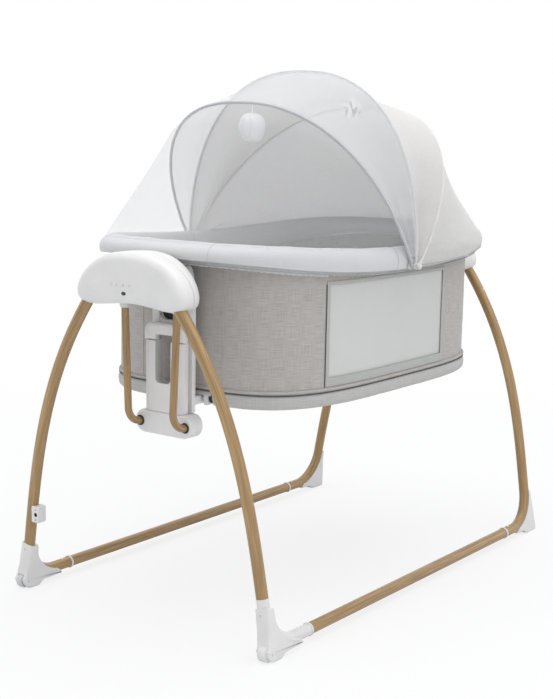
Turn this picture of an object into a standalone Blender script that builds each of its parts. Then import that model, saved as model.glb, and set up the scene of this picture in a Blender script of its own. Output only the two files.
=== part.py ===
"""Convertible crib cradle: a rocking bassinet hung in a bent-tube stand, with a folding net hood.

Metres, +Z up. +Y runs along the cradle, the motor is at the -Y end, and the floor is z = 0.
The left and right halves of the stand, and the two ends of the swing, are mirror images.
"""
import math

import bmesh
import bpy
from mathutils import Vector

# Stand: one bent tube per leg, joined along the floor
HALF_LENGTH = 0.500
HALF_WIDTH = 0.303
PIVOT_HEIGHT = 0.6515
TUBE_RADIUS = 0.011
FLOOR_TUBE_HEIGHT = 0.022
LEG_RAKE = 0.0186
LEG_TOP_DROP = 0.0607
LEG_TOP_X = 0.1164
LEG_TOP_Y = HALF_LENGTH + LEG_RAKE
LEG_TOP_Z = PIVOT_HEIGHT - LEG_TOP_DROP
LEG_BOW = 0.1595
LEG_BOW_SKEW = 0.0713
CORNER_RADIUS = 0.072
FLOOR_JOINT_SETBACK = 0.043
FLOOR_JOINT_Y = HALF_LENGTH - CORNER_RADIUS - FLOOR_JOINT_SETBACK
LEG_IN_HOUSING = 0.026
COLLAR_LENGTH = 0.007
COLLAR_WALL = 0.0018
SNAP_PIN_RADIUS = 0.003
SNAP_PIN_HEIGHT = 0.0016
SNAP_PIN_SETBACK = 0.018
SNAP_PIN_DROP = 0.0458

# Feet
FOOT_HEIGHT = 0.092
FOOT_LENGTH = 0.085
FOOT_SOLE_LENGTH = 0.042
FOOT_HALF_WIDTH = 0.0145
FOOT_WALL = 0.0028
FOOT_TOE = 0.020
REAR_FOOT_HEIGHT = 0.060
REAR_FOOT_LENGTH = 0.070
ROLLER_RADIUS = 0.0140
ROLLER_HALF_WIDTH = 0.0065
ROLLER_LIFT = 0.0018
ROLLER_SHOW = 0.0035
ROLLER_GAP = 0.0010
AXLE_RADIUS = 0.0025

# Motor housing and rear hub, the same outline
LEG_MARGIN = 0.0136
HOUSING_HALF_WIDTH = LEG_TOP_X + LEG_MARGIN
HOUSING_HALF_HEIGHT = 0.0470
HOUSING_SAG = 0.0035
HOUSING_DROOP = 0.031
HOUSING_ROUNDNESS = 3.4
HOUSING_JOINT_SETBACK = 0.0156
COVER_DEPTH = 0.0345
COVER_EDGE_DEPTH = 0.0210
BACK_DEPTH = 0.0425
HOUSING_JOINT_Y = LEG_TOP_Y - HOUSING_JOINT_SETBACK
HOUSING_FACE_Y = HOUSING_JOINT_Y + COVER_DEPTH
HOUSING_EDGE_Y = HOUSING_JOINT_Y + COVER_EDGE_DEPTH
HOUSING_BACK_Y = HOUSING_JOINT_Y - BACK_DEPTH
HOUSING_BACK_ROUND = 0.010
FACE_INSET = 0.0105
BACK_INSET = 0.009
SHELL_WALL = 0.0024
WEB_THICKNESS = 0.003
WEB_SETBACK = 0.0055
WEB_Y = HOUSING_JOINT_Y - WEB_SETBACK
BOARD_SIZE = (0.070, 0.030)
BOARD_THICKNESS = 0.0016
BOARD_STANDOFF_RADIUS = 0.003
GEARBOX_RADIUS = 0.0260
GEARBOX_DEPTH = 0.020
MOTOR_RADIUS = 0.012
MOTOR_LENGTH = 0.026
LENS_RADII = (0.0058, 0.0038)
LENS_X = -0.006
LENS_DROP = 0.031
BEARING_RADIUS = 0.011
BEARING_LENGTH = 0.010
SHAFT_RADIUS = 0.005

# Swing: two arms, a lower bar and a tower at each end
ARM_RADIUS = 0.007
ARM_SETBACK = 0.026
ARM_Y = WEB_Y - ARM_SETBACK
ARM_TOP_X = 0.063
ARM_LOW_X = 0.055
ARM_BEND_RADIUS = 0.032
ARM_SEAT = 0.014
FERRULE_LENGTH = 0.014
FERRULE_WALL = 0.0030
FERRULE_DROP = 0.057
YOKE_HALF_HEIGHT = 0.009
YOKE_HALF_DEPTH = 0.0058
YOKE_ROUND_SHARE = 0.9
BAR_DROP = 0.2845
BAR_HEIGHT = PIVOT_HEIGHT - BAR_DROP
BAR_HALF_HEIGHT = 0.022
BAR_END_MARGIN = 0.013
BAR_HALF_LENGTH = ARM_LOW_X + BAR_END_MARGIN
BAR_ROUND_SHARE = 0.95
BAR_SETBACK = 0.034
BAR_DEPTH = 0.0375
BAR_FRONT_Y = ARM_Y - BAR_SETBACK
BAR_BACK_Y = BAR_FRONT_Y - BAR_DEPTH
BRACKET_ROUND = 0.004
TOWER_HALF_WIDTH = 0.047
TOWER_DEPTH = 0.0258
TOWER_BACK_Y = BAR_FRONT_Y - TOWER_DEPTH
TOWER_SIDE_ROUND = 0.009
WINDOW_HALF_WIDTH = 0.021
WINDOW_RISE = 0.055
WINDOW_HEIGHT = 0.090
WINDOW_BOTTOM = BAR_HEIGHT + BAR_HALF_HEIGHT + WINDOW_RISE
WINDOW_TOP = WINDOW_BOTTOM + WINDOW_HEIGHT
HANDLE_SKIRT = 0.011
HANDLE_THICKNESS = 0.022
HANDLE_BOTTOM = WINDOW_TOP - HANDLE_SKIRT
HANDLE_TOP = WINDOW_TOP + HANDLE_THICKNESS
HANDLE_OVERHANG = 0.0015
HANDLE_PIN_RADIUS = 0.0030
HANDLE_PIN_LENGTH = 0.018
SWING_ANGLE = math.radians(10)

# Bassinet frame
PLATE_HALF_WIDTH = 0.050
PLATE_NECK_HALF_WIDTH = 0.0365
PLATE_NECK_RISE = 0.004
PLATE_DEPTH = 0.0100
PLATE_BACK_Y = TOWER_BACK_Y - PLATE_DEPTH
PLATE_SLOT_RISE = 0.016
PLATE_SLOT_HEIGHT = 0.026
PLATE_SLOT_BOTTOM = HANDLE_TOP + PLATE_SLOT_RISE
PLATE_SLOT_TOP = PLATE_SLOT_BOTTOM + PLATE_SLOT_HEIGHT
RIB_X = 0.034
RIB_HALF_WIDTH = 0.005
RIB_DEPTH = 0.006
RIB_OVERRUN = 0.002
RIB_TOP = PLATE_SLOT_TOP + RIB_OVERRUN
RUNNING_GAP = 0.0008
FLANGE_THICKNESS = 0.011
SADDLE_HALF_WIDTH = 0.020
RIM_TUBE_RADIUS = 0.007
BASE_TUBE_RADIUS = 0.008
BASE_TUBE_RISE = 0.0195
BASE_TUBE_HEIGHT = BAR_HEIGHT + BAR_HALF_HEIGHT + BASE_TUBE_RADIUS + BASE_TUBE_RISE
CLAMP_HALF_WIDTH = 0.0495
CLAMP_DEPTH = 0.0272

# Bassinet fabric
WALL_TO_PLATE = 0.0185
WALL_A = PLATE_BACK_Y - WALL_TO_PLATE
WALL_B = 0.2520
WALL_POWER = 3.8
WALL_THICKNESS = 0.0030
BAND_MARGIN = 0.0045
BAND_RISE = 0.0055
BAND_BOTTOM = BASE_TUBE_HEIGHT - BASE_TUBE_RADIUS - BAND_MARGIN
BAND_TOP = BASE_TUBE_HEIGHT + BASE_TUBE_RADIUS + BAND_RISE
BAND_THICKNESS = 0.0030
RIM_END_OVERHANG = 0.0718
RIM_SIDE_OVERHANG = 0.0230
RIM_OUTER_A = WALL_A + RIM_END_OVERHANG
RIM_OUTER_B = WALL_B + RIM_SIDE_OVERHANG
RIM_END_HALF_WIDTH = 0.037
RIM_SIDE_HALF_WIDTH = 0.0185
RIM_WIDENING = 2.0
RIM_POWER = 3.4
TUB_DEPTH = 0.2475
RIM_HEIGHT = BASE_TUBE_HEIGHT + TUB_DEPTH
RIM_LIFT = 0.030
RIM_HALF_THICKNESS = 0.022
RIM_TUBE_INSET = 0.013
RIM_GROOVE_GAP = 0.0025
NET_THICKNESS = 0.0012
NET_FRONT_MARGIN = 0.1362
NET_REAR_MARGIN = 0.2282
NET_RISE = 0.025
NET_DROP = 0.004
NET_FRONT_Y = NET_FRONT_MARGIN - WALL_A
NET_REAR_Y = WALL_A - NET_REAR_MARGIN
NET_BOTTOM = BAND_TOP + NET_RISE
NET_TOP = RIM_HEIGHT - RIM_HALF_THICKNESS - NET_DROP
BOARD_HEIGHT = 0.005
MATTRESS_HEIGHT = 0.036
MATTRESS_ROUND = 0.010
LINER_GAP = 0.0018

# Hood: three bows on a pin at each side, the front one carries the net
HOOD_PIVOT_Y = -0.020
HOOD_PIVOT_DROP = 0.009
HOOD_PIVOT_Z = RIM_HEIGHT - HOOD_PIVOT_DROP
BOW_RADIUS = 0.0030
BOW_POWER = 2.35
CLIP_REACH = 0.0035
BOW_INNER_X = RIM_OUTER_B + CLIP_REACH + BOW_RADIUS
BOW_SPACING = 0.0068
BOW_REACHES = (0.3670, 0.3750, 0.4000)
FRONT_BOW_ANGLE = math.radians(32.8)
MIDDLE_BOW_ANGLE = math.radians(-0.5)
REAR_BOW_ANGLE = math.radians(-39.4)
EYE_RADIUS = 0.0065
HOOD_PIN_RADIUS = 0.0030
HOOD_PIN_CAP_RADIUS = 0.0060
HOOD_PIN_CAP = 0.0035
HOOD_CLIP_RADIUS = 0.0085
HOOD_SHEET = 0.0016
HOOD_START_SHARE = 0.30
EYE_ROOT_SHARE = 0.75
SKIRT_GAP = 0.0014
SKIRT_TURNS = (math.radians(52), math.radians(26), math.radians(0), math.radians(-22))
NET_TURN = math.radians(58)
REAR_PANEL_SHARES = (0, 0.33, 0.67)
NET_ROW_SHARES = (0, 0.33, 0.67, 1)

# Hanging toys
TOY_STRAP_LENGTH = 0.012
TOY_STRAP_RADIUS = 0.0015
BALL_RADII = (0.0230, 0.0205, 0.0255)
BALL_X = 0.031
STAR_X = 0.128
STAR_REACH = 0.026
STAR_NOTCH_SHARE = 0.55
STAR_HALF_DEPTH = 0.010
STAR_ROUND_SHARE = 0.35
STAR_BODY_DROP = 0.030

# Mains inlet on the left front leg
INLET_Z = 0.1595
INLET_HALF_HEIGHT = 0.0165
INLET_HALF_DEPTH = 0.0110
INLET_REACH = 0.0190
INLET_HOLE_RADIUS = 0.0042
INLET_HOLE_DEPTH = 0.009
INLET_PIN_RADIUS = 0.0011

# Shared clearances
SEAT = 0.0003
CUT = 0.004
MERGE = 0.00002

# How finely curves are cut
TUBE_ROUND_STEPS = 3
SMALL_ROUND_STEPS = 2
ROD_ROUND_STEPS = 1
LOOP_STEPS = 32
LOOP_SPREAD = 1.4
OUTLINE_STEPS = 24
BOW_STEPS = 16
BOW_FINE_STEPS = 40

FRONT, REAR = -1, 1
LEFT, RIGHT = -1, 1
END_NAMES = {FRONT: "front", REAR: "rear"}
SIDE_NAMES = {LEFT: "left", RIGHT: "right"}

WOOD = ("wood_look_tube", (0.52, 0.33, 0.16), 0.45, 0.0)
WHITE = ("white_plastic", (0.86, 0.86, 0.87), 0.38, 0.0)
GREY_FACE = ("warm_white_face", (0.69, 0.68, 0.67), 0.42, 0.0)
STEEL = ("plated_steel", (0.55, 0.55, 0.56), 0.32, 1.0)
BLACK = ("black_plastic", (0.02, 0.02, 0.02), 0.35, 0.0)
RUBBER = ("grey_roller", (0.55, 0.55, 0.56), 0.60, 0.0)
CIRCUIT = ("circuit_board", (0.03, 0.16, 0.07), 0.50, 0.0)
LINEN = ("grey_linen", (0.37, 0.34, 0.31), 0.90, 0.0)
PALE = ("pale_rim_fabric", (0.74, 0.74, 0.75), 0.88, 0.0)
HOOD = ("grey_hood_fabric", (0.60, 0.59, 0.57), 0.88, 0.0)
NET = ("white_net", (0.85, 0.85, 0.87), 0.80, 0.0)
BINDING = ("grey_binding", (0.45, 0.45, 0.47), 0.80, 0.0)
QUILT = ("white_quilt", (0.88, 0.88, 0.88), 0.90, 0.0)
PLUSH = ("white_plush", (0.90, 0.90, 0.91), 0.95, 0.0)


def material(spec):
    """The Principled material of a finish, made once."""
    name, colour, roughness, metallic = spec
    found = bpy.data.materials.get(name)
    if found:
        return found
    made = bpy.data.materials.new(name)
    made.use_nodes = True
    shader = made.node_tree.nodes["Principled BSDF"]
    shader.inputs["Base Color"].default_value = (*colour, 1.0)
    shader.inputs["Roughness"].default_value = roughness
    shader.inputs["Metallic"].default_value = metallic
    return made


def collection(name):
    """A collection of the scene, made once."""
    found = bpy.data.collections.get(name)
    if found:
        return found
    made = bpy.data.collections.new(name)
    bpy.context.scene.collection.children.link(made)
    return made


def add_object(name, data, finish):
    """Put a mesh or curve in the cradle's collection."""
    made = bpy.data.objects.new(name, data)
    collection("crib_cradle").objects.link(made)
    data.materials.append(material(finish))
    return made


def as_cutter(made):
    """Move an object among the cutters, which the build leaves out."""
    for owner in list(made.users_collection):
        owner.objects.unlink(made)
    collection("cutters").objects.link(made)
    made.hide_render = True
    made.display_type = "WIRE"
    return made


def as_mesh(made):
    """Turn a curve object, or one with modifiers, into a plain welded mesh at the world origin."""
    bpy.context.view_layer.update()
    graph = bpy.context.evaluated_depsgraph_get()
    mesh = bpy.data.meshes.new_from_object(made.evaluated_get(graph))
    mesh.transform(made.matrix_world)
    name = made.name
    owners = list(made.users_collection)
    cutter = made.hide_render
    bpy.data.objects.remove(made)
    form = bmesh.new()
    form.from_mesh(mesh)
    bmesh.ops.remove_doubles(form, verts=form.verts, dist=MERGE)
    form.to_mesh(mesh)
    form.free()
    plain = bpy.data.objects.new(name, mesh)
    for owner in owners:
        owner.objects.link(plain)
    if cutter:
        plain.hide_render = True
        plain.display_type = "WIRE"
    return plain


def tube(name, points, radius, finish, round_steps=SMALL_ROUND_STEPS, closed=False):
    """A round tube or rod along a list of points."""
    curve = bpy.data.curves.new(name, "CURVE")
    curve.dimensions = "3D"
    curve.bevel_depth = radius
    curve.bevel_resolution = round_steps
    curve.use_fill_caps = not closed
    spline = curve.splines.new("POLY")
    spline.points.add(len(points) - 1)
    for slot, point in zip(spline.points, points):
        slot.co = (*point, 1.0)
    spline.use_cyclic_u = closed
    return add_object(name, curve, finish)


def plate(name, outline, plane, low, high, finish, holes=(), bevel=0.0, bevel_steps=2):
    """A flat outline given depth from low to high, across the plane XZ, YZ or XY.

    For XZ the depth runs along Y, for YZ along X and for XY along Z.
    """
    curve = bpy.data.curves.new(name, "CURVE")
    curve.dimensions = "2D"
    curve.fill_mode = "BOTH"
    curve.extrude = abs(high - low) / 2
    for loop in (outline, *holes):
        spline = curve.splines.new("POLY")
        spline.points.add(len(loop) - 1)
        for slot, point in zip(spline.points, loop):
            slot.co = (*point, 0.0, 1.0)
        spline.use_cyclic_u = True
    made = add_object(name, curve, finish)
    middle = (low + high) / 2
    if plane == "XZ":
        made.rotation_euler = (math.pi / 2, 0, 0)
        made.location = (0, middle, 0)
    elif plane == "YZ":
        made.rotation_euler = (math.pi / 2, 0, math.pi / 2)
        made.location = (middle, 0, 0)
    else:
        made.location = (0, 0, middle)
    plain = as_mesh(made)
    if bevel:
        soften(plain, bevel, bevel_steps)
        plain = as_mesh(plain)
    return plain


def soften(made, width, steps=2, angle=math.radians(50)):
    """Round an object's sharp edges."""
    bevel = made.modifiers.new("rounded_edges", "BEVEL")
    bevel.width = width
    bevel.segments = steps
    bevel.limit_method = "ANGLE"
    bevel.angle_limit = angle
    return bevel


def combine(made, other, operation="DIFFERENCE"):
    """Cut an object with another one, or join it on."""
    as_cutter(other)
    step = made.modifiers.new(operation.lower() + "_" + other.name, "BOOLEAN")
    step.operation = operation
    step.solver = "EXACT"
    step.object = other
    return step


def cylinder(name, radius, start, stop, axis, centre, finish, sides=24):
    """A cylinder along X, Y or Z from start to stop, centred on the two other coordinates."""
    form = bmesh.new()
    length = abs(stop - start)
    bmesh.ops.create_cone(form, cap_ends=True, segments=sides, radius1=radius, radius2=radius,
                          depth=length)
    mesh = bpy.data.meshes.new(name)
    form.to_mesh(mesh)
    form.free()
    made = add_object(name, mesh, finish)
    middle = (start + stop) / 2
    if axis == "X":
        made.rotation_euler = (0, math.pi / 2, 0)
        made.location = (middle, *centre)
    elif axis == "Y":
        made.rotation_euler = (math.pi / 2, 0, 0)
        made.location = (centre[0], middle, centre[1])
    else:
        made.location = (*centre, middle)
    return as_mesh(made)


def box(name, low, high, finish):
    """A box between two corners."""
    form = bmesh.new()
    bmesh.ops.create_cube(form, size=1.0)
    size = [b - a for a, b in zip(low, high)]
    middle = [(a + b) / 2 for a, b in zip(low, high)]
    bmesh.ops.scale(form, vec=size, verts=form.verts)
    bmesh.ops.translate(form, vec=middle, verts=form.verts)
    mesh = bpy.data.meshes.new(name)
    form.to_mesh(mesh)
    form.free()
    return add_object(name, mesh, finish)


def loft(name, rings, finish, closed=False, capped=True):
    """Skin a list of rings of points. A closed loft joins its last ring to its first."""
    form = bmesh.new()
    rows = [[form.verts.new(point) for point in ring] for ring in rings]
    count = len(rows[0])
    steps = len(rows) if closed else len(rows) - 1
    for i in range(steps):
        low, high = rows[i], rows[(i + 1) % len(rows)]
        for j in range(count):
            k = (j + 1) % count
            form.faces.new((low[j], low[k], high[k], high[j]))
    if capped and not closed:
        form.faces.new(list(reversed(rows[0])))
        form.faces.new(rows[-1])
    bmesh.ops.recalc_face_normals(form, faces=form.faces)
    mesh = bpy.data.meshes.new(name)
    form.to_mesh(mesh)
    form.free()
    return add_object(name, mesh, finish)


def sheet(name, rows, thickness, finish, missing=(), closed=False):
    """An open sheet through rows of points, given an even thickness about its middle.

    missing holds the (row, column) cells left out, such as a window.
    """
    form = bmesh.new()
    grid = [[form.verts.new(point) for point in row] for row in rows]
    columns = len(rows[0]) if closed else len(rows[0]) - 1
    for i in range(len(rows) - 1):
        for j in range(columns):
            if (i, j) in missing:
                continue
            k = (j + 1) % len(rows[0])
            form.faces.new((grid[i][j], grid[i][k], grid[i + 1][k], grid[i + 1][j]))
    bmesh.ops.recalc_face_normals(form, faces=form.faces)
    mesh = bpy.data.meshes.new(name)
    form.to_mesh(mesh)
    form.free()
    made = add_object(name, mesh, finish)
    wall = made.modifiers.new("cloth_thickness", "SOLIDIFY")
    wall.thickness = thickness
    wall.offset = 0.0
    return made


def smooth(made, angle=math.radians(35)):
    """Shade a round piece smooth, with its real edges kept sharp."""
    mesh = made.data
    mesh.shade_smooth()
    mesh.set_sharp_from_angle(angle=angle)
    return made


def oval_loop(a, b, power, angle):
    """A point of the rounded rectangle that the bassinet has in plan: a along Y and b along X."""
    c, s = math.cos(angle), math.sin(angle)
    x = math.copysign(abs(c) ** (2 / power), c) * b
    y = math.copysign(abs(s) ** (2 / power), s) * a
    return x, y


def loop_angles(steps=LOOP_STEPS):
    """Angles that space the points about evenly along the loop, straights and corners alike."""
    quarter = steps // 4
    angles = []
    for i in range(steps):
        share = (i % quarter) / quarter
        near, far = share ** LOOP_SPREAD, (1 - share) ** LOOP_SPREAD
        angles.append(math.pi / 2 * (i // quarter + near / (near + far)))
    return angles


def rim_height(y):
    """The rim rises towards both ends of the bassinet."""
    return RIM_HEIGHT + RIM_LIFT * (y / RIM_OUTER_A) ** 2


def rim_station(angle):
    """Centre, outward direction and half width of the rim pad at one angle of its loop."""
    a, b = RIM_OUTER_A - RIM_END_HALF_WIDTH, RIM_OUTER_B - RIM_SIDE_HALF_WIDTH
    centre = Vector(oval_loop(a, b, RIM_POWER, angle))
    slope_x = math.copysign(abs(centre.x / b) ** (RIM_POWER - 1) / b, centre.x)
    slope_y = math.copysign(abs(centre.y / a) ** (RIM_POWER - 1) / a, centre.y)
    out = Vector((slope_x, slope_y)).normalized()
    widening = abs(out.y) ** RIM_WIDENING
    return centre, out, RIM_SIDE_HALF_WIDTH + (RIM_END_HALF_WIDTH - RIM_SIDE_HALF_WIDTH) * widening


def rounded_rectangle(x0, x1, z0, z1, radius, steps=4):
    """The outline of a rectangle with round corners, anticlockwise."""
    corners = ((x1 - radius, z0 + radius, -math.pi / 2), (x1 - radius, z1 - radius, 0),
               (x0 + radius, z1 - radius, math.pi / 2), (x0 + radius, z0 + radius, math.pi))
    points = []
    for x, z, start in corners:
        for i in range(steps + 1):
            angle = start + i * math.pi / 2 / steps
            points.append((x + radius * math.cos(angle), z + radius * math.sin(angle)))
    return points


# Stand


def leg_point(share, side, end):
    """A point on the axis of a leg: share 0 is where it leaves the housing, 1 is the floor corner."""
    swell = share * (1 - share)
    x = LEG_TOP_X + (HALF_WIDTH - LEG_TOP_X) * share + LEG_BOW * swell
    x += LEG_BOW_SKEW * swell * (1 - 2 * share)
    y = LEG_TOP_Y + (HALF_LENGTH - LEG_TOP_Y) * share
    z = LEG_TOP_Z + (FLOOR_TUBE_HEIGHT - LEG_TOP_Z) * share
    return Vector((side * x, end * y, z))


def leg_share_at(height):
    return (LEG_TOP_Z - height) / (LEG_TOP_Z - FLOOR_TUBE_HEIGHT)


def leg_path(side, end, steps=9, bend_steps=5):
    """From inside the housing, down the bowed leg and round the corner to the floor joint."""
    bend_share = leg_share_at(FLOOR_TUBE_HEIGHT + CORNER_RADIUS)
    top = leg_point(0, side, end)
    rise = (top - leg_point(bend_share / steps, side, end)).normalized()
    points = [top + rise * LEG_IN_HOUSING]
    points += [leg_point(bend_share * i / steps, side, end) for i in range(steps)]
    start = leg_point(bend_share, side, end)
    corner = leg_point(1, side, end)
    stop = Vector((side * HALF_WIDTH, end * (HALF_LENGTH - CORNER_RADIUS), FLOOR_TUBE_HEIGHT))
    handle_share = 0.5523
    pull_in = start.lerp(corner, handle_share)
    pull_out = stop.lerp(corner, handle_share)
    for i in range(bend_steps + 1):
        t = i / bend_steps
        a, b, c = start.lerp(pull_in, t), pull_in.lerp(pull_out, t), pull_out.lerp(stop, t)
        points.append(a.lerp(b, t).lerp(b.lerp(c, t), t))
    points.append(Vector((side * HALF_WIDTH, end * (FLOOR_JOINT_Y + SEAT), FLOOR_TUBE_HEIGHT)))
    return points


def leg_cutter(name, side, end, gap=SEAT, round_steps=TUBE_ROUND_STEPS):
    """The leg tube, larger by a clearance, which bores the pieces that hold it."""
    return as_mesh(as_cutter(tube(name, leg_path(side, end), TUBE_RADIUS + gap, STEEL, round_steps)))


def ring(name, inner, outer, start, stop, axis, centre, finish, sides=16):
    """A short round sleeve."""
    made = cylinder(name, outer, start, stop, axis, centre, finish, sides)
    hole = cylinder(name + "_bore", inner, start - CUT, stop + CUT, axis, centre, finish, sides)
    combine(made, hole)
    return as_mesh(made)


def build_leg(side, end):
    """One bent tube, with the spring pins that lock it into the floor tube and the rear hub."""
    name = f"{END_NAMES[end]}_leg_{SIDE_NAMES[side]}"
    leg = as_mesh(tube(name, leg_path(side, end), TUBE_RADIUS, WOOD, TUBE_ROUND_STEPS))
    top = Vector((side * HALF_WIDTH, end * (FLOOR_JOINT_Y + SNAP_PIN_SETBACK),
                  FLOOR_TUBE_HEIGHT + TUBE_RADIUS))
    combine(leg, snap_pin(name + "_floor_pin", top, Vector((0, 0, 1))), "UNION")
    if end == REAR:
        share = leg_share_at(LEG_TOP_Z - SNAP_PIN_DROP)
        step_share = 0.001
        here = leg_point(share, side, end)
        along = (leg_point(share + step_share, side, end) - here).normalized()
        out = Vector((side, 0, 0))
        out = (out - along * out.dot(along)).normalized()
        combine(leg, snap_pin(name + "_hub_pin", here + out * TUBE_RADIUS, out), "UNION")
    smooth(as_mesh(leg))


def build_floor_tube(side):
    """A straight tube along the floor, with a collar at each end where a leg plugs in."""
    name = f"floor_tube_{SIDE_NAMES[side]}"
    centre = (side * HALF_WIDTH, FLOOR_TUBE_HEIGHT)
    ends = [Vector((side * HALF_WIDTH, y, FLOOR_TUBE_HEIGHT)) for y in (-FLOOR_JOINT_Y, FLOOR_JOINT_Y)]
    floor_tube = as_mesh(tube(name, ends, TUBE_RADIUS, WOOD, TUBE_ROUND_STEPS))
    for end in (FRONT, REAR):
        collar = cylinder(f"{name}_{END_NAMES[end]}_collar", TUBE_RADIUS + COLLAR_WALL,
                          end * (FLOOR_JOINT_Y - COLLAR_LENGTH), end * FLOOR_JOINT_Y, "Y", centre, WHITE, 16)
        combine(floor_tube, collar, "UNION")
    smooth(as_mesh(floor_tube))


def build_stand():
    for side in (LEFT, RIGHT):
        for end in (FRONT, REAR):
            build_leg(side, end)
        build_floor_tube(side)


def snap_pin(name, base, out):
    """The domed head of a spring pin, rooted a little inside the tube."""
    form = bmesh.new()
    root = TUBE_RADIUS / 4
    length = SNAP_PIN_HEIGHT + root
    tip_share = 0.6
    bmesh.ops.create_cone(form, cap_ends=True, segments=10, radius1=SNAP_PIN_RADIUS,
                          radius2=SNAP_PIN_RADIUS * tip_share, depth=length)
    mesh = bpy.data.meshes.new(name)
    form.to_mesh(mesh)
    form.free()
    made = add_object(name, mesh, WHITE)
    made.location = base + out * (length / 2 - root)
    made.rotation_euler = Vector((0, 0, 1)).rotation_difference(out).to_euler()
    return made


# Feet


def foot_outline(end, height, length, toe):
    """The side view of a foot: a sleeve up the leg, a sole, and a wedge under the floor tube."""
    back = HALF_LENGTH + TUBE_RADIUS + FOOT_WALL
    inner = HALF_LENGTH - TUBE_RADIUS - FOOT_WALL
    top_of_tube = FLOOR_TUBE_HEIGHT + TUBE_RADIUS + FOOT_WALL
    under = FLOOR_TUBE_HEIGHT - TUBE_RADIUS
    sole_back = HALF_LENGTH + toe - FOOT_SOLE_LENGTH
    tip = HALF_LENGTH - length
    web_share = 0.62
    points = [(back, height), (back, FLOOR_TUBE_HEIGHT + TUBE_RADIUS)]
    steps = 5
    for i in range(steps + 1):
        angle = math.pi / 2 * i / steps
        points.append((HALF_LENGTH + toe - FLOOR_TUBE_HEIGHT * (1 - math.cos(angle)),
                       FLOOR_TUBE_HEIGHT * (1 - math.sin(angle))))
    points += [(sole_back, 0), (sole_back - under, under - FOOT_WALL), (tip, under - FOOT_WALL / 2)]
    points += [(tip + TUBE_RADIUS, FLOOR_TUBE_HEIGHT)]
    reach = inner - (tip + TUBE_RADIUS + FLOOR_TUBE_HEIGHT)
    points.append((tip + TUBE_RADIUS + FLOOR_TUBE_HEIGHT, top_of_tube))
    web = top_of_tube + (height - top_of_tube) * (1 - web_share)
    points += [(inner - reach * (1 - web_share), web), (inner, height)]
    return [(end * y, z) for y, z in points]


def build_front_foot(side):
    """A flared cover round the corner of the leg, slotted at the toe for a roller."""
    name = f"front_foot_{SIDE_NAMES[side]}"
    x = side * HALF_WIDTH
    outline = foot_outline(FRONT, FOOT_HEIGHT, FOOT_LENGTH, FOOT_TOE)
    lean = leg_point(leg_share_at(FOOT_HEIGHT), side, FRONT).x
    low, high = sorted((lean - side * FOOT_HALF_WIDTH, x + side * FOOT_HALF_WIDTH))
    foot = plate(name, outline, "YZ", low, high, WHITE, bevel=FOOT_WALL, bevel_steps=2)
    combine(foot, leg_cutter(name + "_tube", side, FRONT))
    axle = roller_axis(side)
    slot = cylinder(name + "_slot", ROLLER_RADIUS + ROLLER_GAP, x - ROLLER_HALF_WIDTH - ROLLER_GAP,
                    x + ROLLER_HALF_WIDTH + ROLLER_GAP, "X", (axle.y, axle.z), WHITE, 16)
    combine(foot, slot)
    bore = cylinder(name + "_bore", AXLE_RADIUS + SEAT, x - ROLLER_HALF_WIDTH * 2,
                    x + ROLLER_HALF_WIDTH * 2, "X", (axle.y, axle.z), WHITE, 12)
    combine(foot, bore)
    smooth(as_mesh(foot))


def roller_axis(side):
    """The roller shows a little past the toe and rides just clear of the floor."""
    y = -(HALF_LENGTH + FOOT_TOE + ROLLER_SHOW - ROLLER_RADIUS)
    return Vector((side * HALF_WIDTH, y, ROLLER_RADIUS + ROLLER_LIFT))


def build_roller(side):
    """The roller turns on a pin through the toe."""
    name = SIDE_NAMES[side]
    axle = roller_axis(side)
    tread = cylinder(f"front_roller_{name}", ROLLER_RADIUS, axle.x - ROLLER_HALF_WIDTH,
                     axle.x + ROLLER_HALF_WIDTH, "X", (axle.y, axle.z), RUBBER, 18)
    soften(tread, ROLLER_GAP, 1)
    tread = as_mesh(tread)
    bore = cylinder(f"front_roller_{name}_bore", AXLE_RADIUS + SEAT, axle.x - ROLLER_HALF_WIDTH - CUT,
                    axle.x + ROLLER_HALF_WIDTH + CUT, "X", (axle.y, axle.z), RUBBER, 12)
    combine(tread, bore)
    smooth(as_mesh(tread))
    reach = ROLLER_HALF_WIDTH * 2 - SEAT
    smooth(cylinder(f"roller_axle_{name}", AXLE_RADIUS, axle.x - reach, axle.x + reach, "X",
                    (axle.y, axle.z), STEEL, 12))


def build_rear_foot(side):
    """A plain wedge that lifts the rear corner off the floor."""
    name = f"rear_foot_{SIDE_NAMES[side]}"
    x = side * HALF_WIDTH
    outline = foot_outline(REAR, REAR_FOOT_HEIGHT, REAR_FOOT_LENGTH, FOOT_TOE - FOOT_WALL)
    lean = leg_point(leg_share_at(REAR_FOOT_HEIGHT), side, REAR).x
    low, high = sorted((lean - side * FOOT_HALF_WIDTH, x + side * FOOT_HALF_WIDTH))
    foot = plate(name, outline, "YZ", low, high, WHITE, bevel=FOOT_WALL, bevel_steps=1)
    combine(foot, leg_cutter(name + "_tube", side, REAR))
    smooth(as_mesh(foot))


def build_feet():
    for side in (LEFT, RIGHT):
        build_front_foot(side)
        build_rear_foot(side)
        build_roller(side)


# Motor housing and rear hub


def housing_outline(inset=0.0, steps=OUTLINE_STEPS):
    """The bean-shaped outline of the housing, drawn in by an inset."""
    half_width = HOUSING_HALF_WIDTH - inset
    half_height = HOUSING_HALF_HEIGHT - inset
    points = []
    for i in range(steps):
        angle = 2 * math.pi * (i + 0.5) / steps
        x = math.cos(angle)
        swell = (1 - abs(x) ** HOUSING_ROUNDNESS) ** 0.5
        droop = HOUSING_DROOP * (x * half_width / HOUSING_HALF_WIDTH) ** 2
        z = PIVOT_HEIGHT - HOUSING_SAG - droop + math.copysign(half_height * swell, math.sin(angle))
        points.append((x * half_width, z))
    return points


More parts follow.
